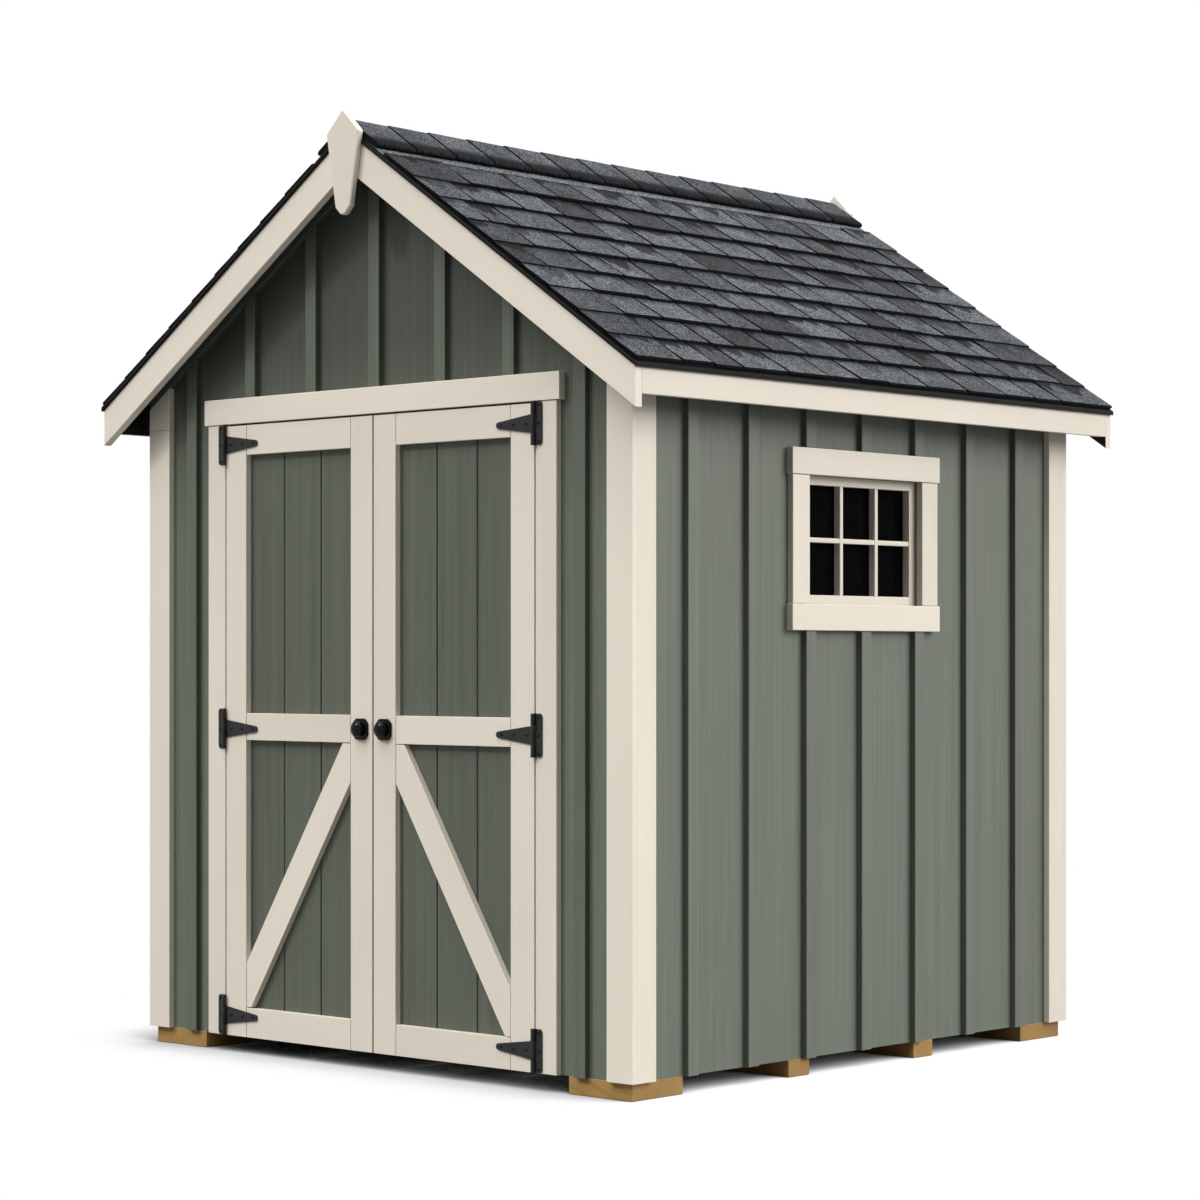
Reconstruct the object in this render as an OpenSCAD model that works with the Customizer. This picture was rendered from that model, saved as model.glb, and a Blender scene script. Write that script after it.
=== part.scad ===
// Wooden garden shed: board-and-batten walls, gable roof, pair of braced doors.
// Millimetres, +Z up, ground at z = 0, doors on the -Y side.

/* [Footprint] */
// Width over the corner boards
shed_w = 2000; // [1700:10:2600]
// Depth over the corner boards
shed_d = 2024; // [1700:10:2800]

/* [Base] */
// Height of the corner blocks and skids
base_h = 48; // [30:1:90]
// Width of a corner block along X
block_w = 230; // [150:5:300]
// Depth of a corner block along Y
block_d = 205; // [150:5:300]
// Set-back of blocks and skids from the corner boards
block_inset = 18; // [8:1:40]
// Width of a cross skid
skid_w = 93; // [60:1:140]
// Distance of a cross skid from the middle of the shed
skid_y = 291; // [200:1:400]

/* [Floor] */
// Depth of the floor joists
joist_h = 89; // [60:1:120]
// Number of floor joists
joist_n = 6; // [4:1:9]
// Thickness of the floor boards
deck_t = 18; // [12:1:26]

/* [Walls] */
// Thickness of the wall boards
clad_t = 18; // [12:1:24]
// Thickness of corner boards and casings
trim_t = 20; // [16:1:26]
// Visible width of a corner board
corner_w = 94; // [70:1:120]
// Depth of the wall studs
stud_w = 89; // [60:1:100]
// Thickness of studs, plates, joists and rafters
stud_t = 38; // [30:1:50]
// Width of a batten
batten_w = 44; // [30:1:60]
// Thickness of a batten
batten_t = 18; // [12:1:20]
// Batten spacing on the gable walls
batten_x = 268; // [220:1:300]
// Batten spacing on the side walls
batten_y = 254; // [220:1:280]

/* [Roof] */
// Height of the roof deck at the eave
eave_z = 1940; // [1900:5:2200]
// Rise of the roof over the length below
roof_rise = 8; // [7:0.5:10]
// Level length over which the rise is measured
roof_run = 12; // [12:0.5:14]
// Eave overhang beyond the corner boards
eave_over = 98; // [80:1:160]
// Barge face beyond the corner boards
gable_over = 99; // [85:1:160]
// Thickness of the roof deck
roof_t = 12; // [9:1:18]
// Depth of the rafters
rafter_h = 89; // [70:1:110]
// Depth of the rafters behind the barge boards
fly_h = 45; // [30:1:60]
// Height of the rafter tails above the lower edge of the fascia
tail_up = 14; // [8:1:20]
// Depth of the seat cut where a rafter sits on the wall plate
seat_h = 36; // [20:1:45]
// Thickness of the ridge board
ridge_t = 19; // [16:1:40]
// Height of the ridge board
ridge_h = 140; // [110:1:180]
// Thickness of the barge boards
barge_t = 27; // [18:1:30]
// Upright height of a barge board
barge_h = 109; // [90:1:130]
// Thickness of the fascia
fascia_t = 20; // [16:1:26]
// Height of the fascia
fascia_h = 72; // [55:1:90]
// Thickness of the metal drip edge
drip_t = 11; // [8:1:16]
// Projection of the drip edge
drip_out = 7; // [4:1:12]
// Lap of the drip edge over the roof deck
drip_lap = 6; // [4:1:10]
// Upright depth of the board along the rake below the deck top
frieze_h = 64; // [50:1:80]
// Number of shingle courses below the ridge cap
course_n = 9; // [7:1:12]
// Shingle thickness at the head of a course
shingle_lo = 4; // [2:0.5:6]
// Shingle thickness at the butt of a course
shingle_hi = 13; // [8:0.5:18]
// Reach of the ridge cap down each slope
cap_reach = 140; // [110:1:165]
// Distance of the head of the first shingle course from the ridge along the slope
course_reach = 195; // [175:1:220]
// Thickness of the ridge cap
cap_t = 16; // [8:1:20]

/* [Finial] */
// Thickness of the finial board
finial_t = 20; // [14:1:28]
// Height of the finial point above the deck apex
finial_up = 64; // [50:1:90]
// Width of the finial at its shoulders
finial_w = 136; // [100:1:170]
// Width of the finial at its foot
finial_foot = 62; // [50:1:90]
// Length of the finial from point to foot
finial_len = 301; // [240:1:340]
// Corner cut at the foot of the finial
finial_clip = 22; // [12:1:25]

/* [Doors] */
// Half width of the doorway between the leaf edges
leaf_edge = 639; // [560:1:680]
// Height of the leaf top above the ground
leaf_top = 1872; // [1700:1:1872]
// Gap around a leaf
leaf_gap = 6; // [5.5:0.5:8]
// Gap between the two leaves
seam_gap = 8; // [8:0.5:10]
// Thickness of the leaf panel
panel_t = 12; // [9:1:13]
// Width of the stiles
stile_w = 89; // [70:1:110]
// Height of the top and bottom rails
rail_h = 88; // [70:1:100]
// Height of the middle rail
mid_rail_h = 80; // [70:1:100]
// Height of the middle rail centre above the ground
mid_rail_z = 974; // [900:1:1050]
// Width of the brace
brace_w = 88; // [70:1:100]
// Length of the brace end under the middle rail
brace_head = 33; // [10:1:60]
// Length of the brace end on the bottom rail
brace_foot = 20; // [10:1:60]
// Distance of the panel grooves from the panel centre
groove_x = 80; // [60:1:100]
// Width of a panel groove
groove_w = 7; // [4:0.5:10]
// Lap of the door studs behind the leaf edges
stop_lap = 14; // [8:1:20]
// Lap of the door header behind the leaf tops
header_lap = 10; // [6:1:16]
// Width of the side casings
casing_w = 77; // [60:1:100]
// Height of the head casing
head_h = 76; // [60:1:90]
// Extra thickness of the head casing
head_proud = 4; // [2:1:8]
// Reach of the head casing past the side casings
head_reach = 14; // [8:1:20]

/* [Hinges] */
// Radius of the hinge barrel
barrel_r = 6.5; // [5:0.5:7]
// Radius of the hinge pin
pin_r = 3.2; // [2.5:0.1:4]
// Height of a jamb plate and its barrel
plate_h = 120; // [96:1:124]
// Width of a jamb plate
plate_w = 21; // [18:1:30]
// Thickness of the hinge plates
plate_t = 4; // [3:0.5:5]
// Length of a strap
strap_len = 136; // [110:1:160]
// Height of a strap at the barrel
strap_h = 52; // [44:1:60]
// Radius of the strap tip
strap_r = 9; // [6:0.5:12]
// Distance of an end hinge from the end of the doorway
hinge_end = 1; // [0.5:0.5:20]
// Distance of the middle hinge below the middle of the rail
hinge_sag = 7; // [0:1:12]
// Distance of the hinge axis from the door face
hinge_proud = 8; // [7:0.5:10]
// Gap between a barrel and the plate beside it
barrel_gap = 1.5; // [1:0.5:3]
// Width of a knob rose
rose_w = 61; // [50:1:70]
// Corner cut of a knob rose
rose_clip = 13; // [8:1:18]
// Thickness of a knob rose
rose_t = 7; // [5:0.5:12]
// Radius of the neck of a knob
neck_r = 13; // [9:0.5:16]
// Length of the neck of a knob
neck_len = 5; // [4:0.5:10]
// Radius of a door knob
knob_r = 22; // [19:0.5:28]
// Projection of a door knob
knob_out = 29; // [26:1:45]
// Edge cut of a door knob
knob_clip = 4; // [3:0.5:5]

/* [Window] */
// Half width of the window opening
win_half = 264; // [200:1:300]
// Height of the window sill edge
win_z0 = 1331; // [1200:1:1400]
// Height of the window head edge
win_z1 = 1696; // [1600:1:1700]
// Width of the window casing boards
win_trim = 75; // [50:1:90]
// Reach of the window head and sill past the side boards
win_reach = 6; // [4:1:12]
// Width of the sash frame
sash_w = 26; // [20:1:35]
// Width of the glazing bars
bar_w = 14; // [12:1:22]
// Thickness of the sash
sash_t = 24; // [16:1:30]
// Set-back of the sash from the casing face
sash_back = 29; // [24:1:40]
// Thickness of the glass
glass_t = 4; // [3:0.5:6]

/* [Hidden] */
$fn = 48;
joint_gap = 1;
slope_gap = 0.02;
bore_gap = 0.3;
lap = 1;
lip_n = 8;
slope = roof_rise / roof_run;
pitch = atan(slope);
half_w = shed_w / 2;
half_d = shed_d / 2;
clad_x = half_w - trim_t;
clad_y = half_d - trim_t;
frame_x = clad_x - clad_t;
frame_y = clad_y - clad_t;
floor_z = base_h + joist_h + deck_t;
run = half_w + eave_over;
barge_y = half_d + gable_over;
deck_y = barge_y - barge_t;
deck_x = run - fascia_t;
side_top = roof_z(half_w) - drop(roof_t + rafter_h) - joint_gap;
plate_top = under(frame_x) - drop(rafter_h) + seat_h;
fascia_z = roof_z(run) - fascia_h;
edge_x = run + drip_out;
edge_y = barge_y + drip_out;
cap_x = cap_reach * cos(pitch);
course_x = course_reach * cos(pitch);
tail_z = fascia_z + tail_up;
head_z = leaf_top + leaf_gap;
door_x = leaf_edge + leaf_gap;
casing_x = door_x + casing_w;
casing_y = half_d;
jack_x = leaf_edge - stop_lap;
header_z = leaf_top - header_lap;
hinge_x = leaf_edge + leaf_gap / 2;
hinge_y = half_d + hinge_proud;
hinge_in = hinge_end + plate_h / 2;
hinge_zs = [base_h + hinge_in, mid_rail_z - hinge_sag, head_z - hinge_in];
plate_x = barrel_r + barrel_gap;
knuckle_h = strap_h / 2;
bay_w = leaf_edge - seam_gap / 2 - 2 * stile_w;
bay_lo = base_h + rail_h;
bay_hi = mid_rail_z - mid_rail_h / 2;
win_side = win_half + win_trim;
win_out = win_side + win_reach;
sash_x = half_w - sash_back;
side_stud_y = [win_half + stud_t / 2, (win_half + frame_y) / 2, frame_y - stud_t / 2];
rafter_gap = (frame_y - stud_t / 2) / 2;
end_n = floor((half_w - corner_w - batten_w / 2 - joint_gap) / batten_x);
side_n = floor((half_d - corner_w - batten_w / 2 - joint_gap) / batten_y);
cover = drip_t + slope_gap;
cap_base = cover + shingle_lo + slope_gap;
wood = [0.80, 0.64, 0.42];
block_wood = [0.72, 0.52, 0.28];
green = [0.42, 0.46, 0.40];
cream = [0.88, 0.84, 0.76];
black = [0.10, 0.10, 0.11];
charcoal = [0.25, 0.26, 0.28];
glass = [0.08, 0.09, 0.10];

// Height of the deck top at a distance from the ridge
function roof_z(x) = eave_z + (run - abs(x)) * slope;
// Upright drop of a thickness measured square to the roof
function drop(t) = t / cos(pitch);
// Height of the deck underside at a distance from the ridge
function under(x) = roof_z(x) - drop(roof_t + slope_gap);
// Height of the lower edge of the board along the rake
function frieze_z(x) = roof_z(x) - frieze_h;

// Both halves of a piece mirrored across the ridge
module both_sides() {
  children();
  mirror([1, 0, 0]) children();
}

// Both copies of a piece mirrored front to back
module both_ends() {
  children();
  mirror([0, 1, 0]) children();
}

// Outline in the XZ plane drawn out between two depths
module slab(y0, y1) {
  translate([0, y1, 0]) rotate([90, 0, 0]) linear_extrude(y1 - y0) children();
}

// Strip of one roof slope between two heights square to the deck
module strip(x0, x1, t0, t1) {
  polygon([
    [x0, roof_z(x0) + drop(t0)], [x1, roof_z(x1) + drop(t0)],
    [x1, roof_z(x1) + drop(t1)], [x0, roof_z(x0) + drop(t1)]
  ]);
}

// Upright board with its top cut to the board along the rake
module raked_board(x0, x1, z0) {
  polygon([[x0, z0], [x1, z0], [x1, frieze_z(x1) - joint_gap], [x0, frieze_z(x0) - joint_gap]]);
}

module corner_blocks() {
  color(block_wood) both_sides() both_ends()
    translate([half_w - block_inset - block_w, half_d - block_inset - block_d, 0])
      cube([block_w, block_d, base_h]);
}

module cross_skids() {
  color(block_wood) both_ends()
    translate([-(half_w - block_inset), skid_y - skid_w / 2, 0])
      cube([shed_w - 2 * block_inset, skid_w, base_h]);
}

module floor_rims() {
  color(wood) both_ends()
    translate([-frame_x, frame_y - stud_t, base_h])
      cube([2 * frame_x, stud_t, joist_h]);
}

module floor_joists() {
  pitch_x = (2 * frame_x - stud_t) / (joist_n - 1);
  color(wood) for (i = [0 : joist_n - 1])
    translate([-frame_x + i * pitch_x, -frame_y + stud_t, base_h])
      cube([stud_t, 2 * (frame_y - stud_t), joist_h]);
}

module floor_deck() {
  color(wood) translate([-frame_x, -frame_y, base_h + joist_h])
    cube([2 * frame_x, 2 * frame_y, deck_t]);
}

// Wall boards beside the doorway
module front_panel() {
  translate([door_x, -clad_y, base_h]) cube([clad_x - door_x, clad_t, head_z - base_h]);
}

module front_wall_left() {
  color(green) mirror([1, 0, 0]) front_panel();
}

module front_wall_right() {
  color(green) front_panel();
}

// Gable outline above a given height
module gable(z0) {
  polygon([[-clad_x, z0], [clad_x, z0], [clad_x, under(clad_x)], [0, under(0)], [-clad_x, under(clad_x)]]);
}

module front_gable() {
  color(green) slab(-clad_y, -frame_y) gable(head_z);
}

module rear_wall() {
  color(green) slab(frame_y, clad_y) gable(base_h);
}

// Wall boards of one side
module side_panel() {
  translate([frame_x, -frame_y, base_h]) cube([clad_t, 2 * frame_y, side_top - base_h]);
}

module left_wall() {
  color(green) mirror([1, 0, 0]) side_panel();
}

module right_wall() {
  color(green) difference() {
    side_panel();
    translate([frame_x - lap, -win_half, win_z0])
      cube([clad_t + 2 * lap, 2 * win_half, win_z1 - win_z0]);
  }
}

module side_plates() {
  color(wood) both_sides() {
    translate([frame_x - stud_w, -frame_y, floor_z]) cube([stud_w, 2 * frame_y, stud_t]);
    translate([frame_x - stud_w, -frame_y, plate_top - stud_t]) cube([stud_w, 2 * frame_y, stud_t]);
  }
}

module end_plates() {
  inner_x = frame_x - stud_w;
  color(wood) {
    both_sides() translate([jack_x, -frame_y, floor_z]) cube([inner_x - jack_x, stud_w, stud_t]);
    translate([-inner_x, -frame_y, header_z]) cube([2 * inner_x, stud_w, plate_top - header_z]);
    translate([-inner_x, frame_y - stud_w, floor_z]) cube([2 * inner_x, stud_w, stud_t]);
    translate([-inner_x, frame_y - stud_w, plate_top - stud_t]) cube([2 * inner_x, stud_w, stud_t]);
  }
}

module window_bucks() {
  color(wood) for (z = [win_z0 - stud_t, win_z1])
    translate([frame_x - stud_w, -win_half, z]) cube([stud_w, 2 * win_half, stud_t]);
}

module side_studs() {
  z0 = floor_z + stud_t;
  color(wood) both_sides() both_ends() for (y = side_stud_y)
    translate([frame_x - stud_w, y - stud_t / 2, z0]) cube([stud_w, stud_t, plate_top - stud_t - z0]);
}

// Short stud between the gable plate and the underside of a rafter
module gable_stud(x) {
  low = drop(roof_t + rafter_h + slope_gap);
  polygon([
    [x - stud_t / 2, plate_top], [x + stud_t / 2, plate_top],
    [x + stud_t / 2, roof_z(x + stud_t / 2) - low], [x - stud_t / 2, roof_z(x - stud_t / 2) - low]
  ]);
}

module end_studs() {
  z0 = floor_z + stud_t;
  corner_x = frame_x - stud_w - stud_t;
  color(wood) {
    both_sides() for (x = [jack_x, corner_x])
      translate([x, -frame_y, z0]) cube([stud_t, stud_w, header_z - z0]);
    both_sides() for (x = [corner_x / 2, corner_x])
      translate([x, frame_y - stud_w, z0]) cube([stud_t, stud_w, plate_top - stud_t - z0]);
    both_sides() both_ends() slab(frame_y - stud_w, frame_y) gable_stud(corner_x / 2);
  }
}

// Rafter outline of the right slope, seated on the wall plate and cut level at the tail
module rafter_outline() {
  difference() {
    strip(ridge_t / 2, deck_x, -roof_t - rafter_h, -roof_t - slope_gap);
    translate([frame_x - 2 * stud_w, plate_top - 2 * stud_w]) square([2 * stud_w, 2 * stud_w]);
    translate([frame_x, tail_z - 2 * stud_w]) square([2 * stud_w, 2 * stud_w]);
  }
}

module rafters() {
  color(wood) both_sides() {
    for (i = [-2 : 2])
      slab(i * rafter_gap - stud_t / 2, i * rafter_gap + stud_t / 2) rafter_outline();
    both_ends() slab(deck_y - stud_t, deck_y)
      strip(joint_gap / 2, deck_x, -roof_t - fly_h, -roof_t - slope_gap);
  }
}

module ridge_board() {
  top = under(ridge_t / 2);
  color(wood) translate([-ridge_t / 2, -frame_y, top - ridge_h])
    cube([ridge_t, 2 * frame_y, ridge_h]);
}

module eave_blocks() {
  x0 = frame_x - stud_t;
  color(wood) both_sides() for (i = [-2 : 1])
    slab(i * rafter_gap + stud_t / 2, (i + 1) * rafter_gap - stud_t / 2)
      polygon([[x0, plate_top], [frame_x, plate_top], [frame_x, under(frame_x)], [x0, under(x0)]]);
}

// Board along the rake of the right slope
module frieze_outline() {
  polygon([
    [joint_gap / 2, frieze_z(joint_gap / 2)], [half_w, frieze_z(half_w)],
    [half_w, under(half_w)], [joint_gap / 2, under(joint_gap / 2)]
  ]);
}

module rake_friezes() {
  color(green) both_sides() both_ends() slab(clad_y, clad_y + batten_t) frieze_outline();
}

module end_corner_boards() {
  color(cream) both_sides() both_ends() slab(clad_y, half_d)
    raked_board(half_w - corner_w, half_w, base_h);
}

module side_corner_boards() {
  color(cream) both_sides() both_ends()
    translate([clad_x, half_d - corner_w, base_h])
      cube([trim_t, corner_w - trim_t, side_top - base_h]);
}

module door_casing() {
  color(cream) both_sides() translate([door_x, -casing_y, base_h])
    cube([casing_w, trim_t, head_z - base_h]);
}

module head_casing() {
  reach = casing_x + head_reach;
  color(cream) translate([-reach, -casing_y - head_proud, head_z])
    cube([2 * reach, trim_t + head_proud, head_h]);
}

// One gable batten from a height up to the board along the rake
module gable_batten(x, z0) {
  x0 = x - batten_w / 2;
  x1 = x + batten_w / 2;
  if (x == 0)
    polygon([
      [x0, z0], [x1, z0], [x1, frieze_z(x1) - joint_gap],
      [0, frieze_z(0) - joint_gap], [x0, frieze_z(x0) - joint_gap]
    ]);
  else
    raked_board(x0, x1, z0);
}

// Foot of a front batten, on the head casing where that is in the way
function batten_z(x) = abs(x) - batten_w / 2 > casing_x + head_reach ? base_h : head_z + head_h;

module end_battens() {
  color(green) for (i = [-end_n : end_n]) {
    slab(-clad_y - batten_t, -clad_y) gable_batten(i * batten_x, batten_z(i * batten_x));
    slab(clad_y, clad_y + batten_t) gable_batten(i * batten_x, base_h);
  }
}

// One side batten between two heights
module side_batten(y, z0, z1) {
  translate([clad_x, y - batten_w / 2, z0]) cube([batten_t, batten_w, z1 - z0]);
}

module side_battens() {
  color(green) for (i = [-side_n : side_n]) {
    mirror([1, 0, 0]) side_batten(i * batten_y, base_h, side_top);
    if (abs(i) * batten_y - batten_w / 2 > win_out) {
      side_batten(i * batten_y, base_h, side_top);
    } else {
      side_batten(i * batten_y, base_h, win_z0 - win_trim);
      side_batten(i * batten_y, win_z1 + win_trim, side_top);
    }
  }
}

module window_casing() {
  color(cream) union() {
    for (z = [win_z0 - win_trim, win_z1])
      translate([clad_x, -win_out, z]) cube([trim_t + head_proud, 2 * win_out, win_trim]);
    both_ends() translate([clad_x, win_half, win_z0 - lap])
      cube([trim_t, win_trim, win_z1 - win_z0 + 2 * lap]);
  }
}

module window_sash() {
  pane_w = (2 * (win_half - sash_w) - 2 * bar_w) / 3;
  pane_h = (win_z1 - win_z0 - 2 * sash_w - bar_w) / 2;
  color(cream) difference() {
    translate([sash_x - sash_t, -win_half, win_z0]) cube([sash_t, 2 * win_half, win_z1 - win_z0]);
    for (i = [0 : 2])
      for (j = [0 : 1])
        translate([
          sash_x - sash_t - lap,
          -win_half + sash_w + i * (pane_w + bar_w),
          win_z0 + sash_w + j * (pane_h + bar_w)
        ]) cube([sash_t + 2 * lap, pane_w, pane_h]);
  }
}

module window_glass() {
  color(glass) translate([sash_x - sash_t - glass_t, -win_half, win_z0])
    cube([glass_t, 2 * win_half, win_z1 - win_z0]);
}

// Deck of the right slope
module deck_slope() {
  slab(-deck_y, deck_y) strip(0, deck_x, -roof_t, 0);
}

module roof_deck_left() {
  color(wood) mirror([1, 0, 0]) deck_slope();
}

module roof_deck_right() {
  color(wood) deck_slope();
}

module eave_fascias() {
  color(cream) both_sides() slab(-deck_y, deck_y)
    polygon([[deck_x, fascia_z], [run, fascia_z], [run, roof_z(run)], [deck_x, roof_z(deck_x)]]);
}

// Pair of barge boards of one gable
module barge_pair() {
  both_sides() slab(deck_y, barge_y)
    polygon([
      [joint_gap / 2, roof_z(joint_gap / 2)], [run, roof_z(run)],
      [run, roof_z(run) - barge_h], [joint_gap / 2, roof_z(joint_gap / 2) - barge_h]
    ]);
}

module front_barge() {
  color(cream) mirror([0, 1, 0]) barge_pair();
}

module rear_barge() {
  color(cream) barge_pair();
}

// Kite-shaped finial outline
module finial_outline() {
  top = roof_z(0) + finial_up;
  foot = top - finial_len;
  polygon([
    [0, top], [finial_w / 2, top - finial_w / 2], [finial_foot / 2, foot + finial_clip],
    [finial_foot / 2 - finial_clip, foot], [-finial_foot / 2 + finial_clip, foot],
    [-finial_foot / 2, foot + finial_clip], [-finial_w / 2, top - finial_w / 2]
  ]);
}

module finials() {
  color(cream) both_ends() slab(barge_y, barge_y + finial_t) finial_outline();
}

// Both slopes as one bent strip
module chevron(reach, t0, t1) {
  polygon([
    [0, roof_z(0) + drop(t0)], [reach, roof_z(reach) + drop(t0)], [reach, roof_z(reach) + drop(t1)],
    [0, roof_z(0) + drop(t1)], [-reach, roof_z(reach) + drop(t1)], [-reach, roof_z(reach) + drop(t0)]
  ]);
}

module drip_edge() {
  inner_x = deck_x - drip_lap;
  inner_y = deck_y - drip_lap;
  color(black) difference() {
    slab(-edge_y, edge_y) chevron(edge_x, slope_gap, drip_t);
    slab(-inner_y, inner_y) chevron(inner_x, -lap, drip_t + lap);
    both_ends() slab(barge_y, barge_y + finial_t) finial_outline();
  }
}

// Stepped shingle courses of the right slope over the drip edge
module course_outline() {
  last_x = edge_x - joint_gap;
  step = (last_x - course_x) / course_n;
  base = cover + shingle_lo;
  butts = [
    for (i = [1 : course_n], k = [0, 1])
      let (x = course_x + i * step, t = k == 0 ? cover + shingle_hi : base)
        if (i < course_n || k == 0) [x, roof_z(x) + drop(t)]
  ];
  polygon(concat(
    [[0, roof_z(0) + drop(cover)], [0, roof_z(0) + drop(base)], [course_x, roof_z(course_x) + drop(base)]],
    butts,
    [[last_x, roof_z(last_x) + drop(cover)]]
  ));
}

// Shingle cover of the right slope
module shingle_slope() {
  inner_x = deck_x - drip_lap - joint_gap;
  inner_y = deck_y - drip_lap - joint_gap;
  union() {
    slab(-inner_y, inner_y) strip(0, inner_x, slope_gap, cover + lap);
    slab(-barge_y, barge_y) course_outline();
  }
}

module shingles_left() {
  color(charcoal) mirror([1, 0, 0]) shingle_slope();
}

module shingles_right() {
  color(charcoal) shingle_slope();
}

// Ridge cap outline with a rounded lower edge on each slope
module cap_outline() {
  r = cap_t / 2;
  cz = roof_z(cap_x) + drop(cap_base + r);
  lip = [
    for (k = [0 : lip_n])
      let (a = k * 180 / lip_n - 90 - pitch) [cap_x + r * cos(a), cz + r * sin(a)]
  ];
  polygon(concat(
    [[0, roof_z(0) + drop(cap_base)]], lip, [[0, roof_z(0) + drop(cap_base + cap_t)]],
    [for (k = [lip_n : -1 : 0]) [-lip[k][0], lip[k][1]]]
  ));
}

module ridge_cap() {
  color(charcoal) slab(-barge_y, barge_y) cap_outline();
}

// Place a piece on the hinge axis of the right leaf at each hinge height
module at_hinges() {
  for (z = hinge_zs) translate([hinge_x, -hinge_y, z]) children();
}

// Jamb plate with round ends, its two knuckles and the pin
module jamb_plate() {
  plate_r = plate_w / 2;
  straight = plate_h - plate_w;
  tab_h = plate_h / 2 - knuckle_h - joint_gap;
  union() {
    translate([plate_x, hinge_proud - plate_t, -straight / 2]) cube([plate_w, plate_t, straight]);
    for (z = [-straight / 2, straight / 2])
      translate([plate_x + plate_r, hinge_proud, z]) rotate([90, 0, 0]) cylinder(r = plate_r, h = plate_t);
    for (z = [-plate_h / 2, knuckle_h + joint_gap]) translate([0, 0, z]) {
      cylinder(r = barrel_r, h = tab_h);
      translate([0, hinge_proud - plate_t, 0]) cube([plate_x + lap, plate_t, tab_h]);
    }
    translate([0, 0, -plate_h / 2]) cylinder(r = pin_r, h = plate_h);
  }
}

module hinge_plates() {
  color(black) both_sides() at_hinges() jamb_plate();
}

// Tapered strap with its bored knuckle
module strap() {
  x0 = lap - plate_x;
  difference() {
    union() {
      cylinder(r = barrel_r, h = 2 * knuckle_h, center = true);
      translate([-plate_x, hinge_proud - plate_t, -knuckle_h]) cube([plate_x, plate_t, 2 * knuckle_h]);
      translate([0, hinge_proud, 0]) rotate([90, 0, 0]) linear_extrude(plate_t)
        polygon([[x0, -knuckle_h], [x0, knuckle_h], [-strap_len, strap_r], [-strap_len, -strap_r]]);
      translate([-strap_len, hinge_proud, 0]) rotate([90, 0, 0]) cylinder(r = strap_r, h = plate_t);
    }
    cylinder(r = pin_r + bore_gap, h = 2 * (knuckle_h + lap), center = true);
  }
}

// Board panel of the right leaf with its grooves
module leaf_panel() {
  x0 = seam_gap / 2;
  mid = (x0 + leaf_edge) / 2;
  front = -clad_y;
  grooves = [
    for (x = [mid + groove_x, mid - groove_x], k = [1, 0, -1])
      [x + k * groove_w / 2, front + (1 - abs(k)) * groove_w / 2]
  ];
  translate([0, 0, base_h]) linear_extrude(leaf_top - base_h)
    polygon(concat(
      [[x0, front], [x0, front + panel_t], [leaf_edge, front + panel_t], [leaf_edge, front]], grooves
    ));
}

// Brace outline in the lower bay, from the lock stile down to the hinge stile
module brace_outline() {
  across = bay_w - brace_head - brace_foot;
  up = bay_hi - bay_lo;
  rise = tan(atan2(up, across) - asin(brace_w / norm([across, up])));
  nose_z = bay_lo + (bay_w - brace_foot) * rise;
  toe_z = bay_hi - (bay_w - brace_head) * rise;
  translate([leaf_edge - stile_w - bay_w, 0]) polygon([
    [-lap, bay_hi + lap], [-lap, nose_z], [0, nose_z], [bay_w - brace_foot, bay_lo],
    [bay_w - brace_foot, bay_lo - lap], [bay_w + lap, bay_lo - lap], [bay_w + lap, toe_z],
    [bay_w, toe_z], [brace_head, bay_hi], [brace_head, bay_hi + lap]
  ]);
}

// Stiles, rails and brace of the right leaf
module leaf_frame() {
  x0 = seam_gap / 2;
  w = leaf_edge - x0;
  slab(-half_d, -clad_y) union() {
    for (x = [x0, leaf_edge - stile_w]) translate([x, base_h]) square([stile_w, leaf_top - base_h]);
    for (z = [base_h, leaf_top - rail_h]) translate([x0, z]) square([w, rail_h]);
    translate([x0, mid_rail_z - mid_rail_h / 2]) square([w, mid_rail_h]);
    brace_outline();
  }
}

// Square rose with cut corners
module rose_outline() {
  a = rose_w / 2;
  b = a - rose_clip;
  polygon([[-b, -a], [b, -a], [a, -b], [a, b], [b, a], [-b, a], [-a, b], [-a, -b]]);
}

// Door knob on its rose, turned about the knob axis
module leaf_knob() {
  back = rose_t + neck_len;
  translate([seam_gap / 2 + stile_w / 2, -half_d, mid_rail_z]) rotate([90, 0, 0]) union() {
    linear_extrude(rose_t) rose_outline();
    rotate_extrude() polygon([
      [0, rose_t - lap], [neck_r, rose_t - lap], [neck_r, back], [knob_r - knob_clip / 2, back],
      [knob_r, back + knob_clip / 2], [knob_r, knob_out - 2 * knob_clip],
      [knob_r - knob_clip / 2, knob_out - knob_clip], [knob_r - 2 * knob_clip, knob_out], [0, knob_out]
    ]);
  }
}

module left_door_panel() {
  color(green) mirror([1, 0, 0]) leaf_panel();
}

module left_door_frame() {
  color(cream) mirror([1, 0, 0]) leaf_frame();
}

module left_door_straps() {
  color(black) mirror([1, 0, 0]) at_hinges() strap();
}

module left_door_knob() {
  color(black) mirror([1, 0, 0]) leaf_knob();
}

module right_door_panel() {
  color(green) leaf_panel();
}

module right_door_frame() {
  color(cream) leaf_frame();
}

module right_door_straps() {
  color(black) at_hinges() strap();
}

module right_door_knob() {
  color(black) leaf_knob();
}

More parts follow.
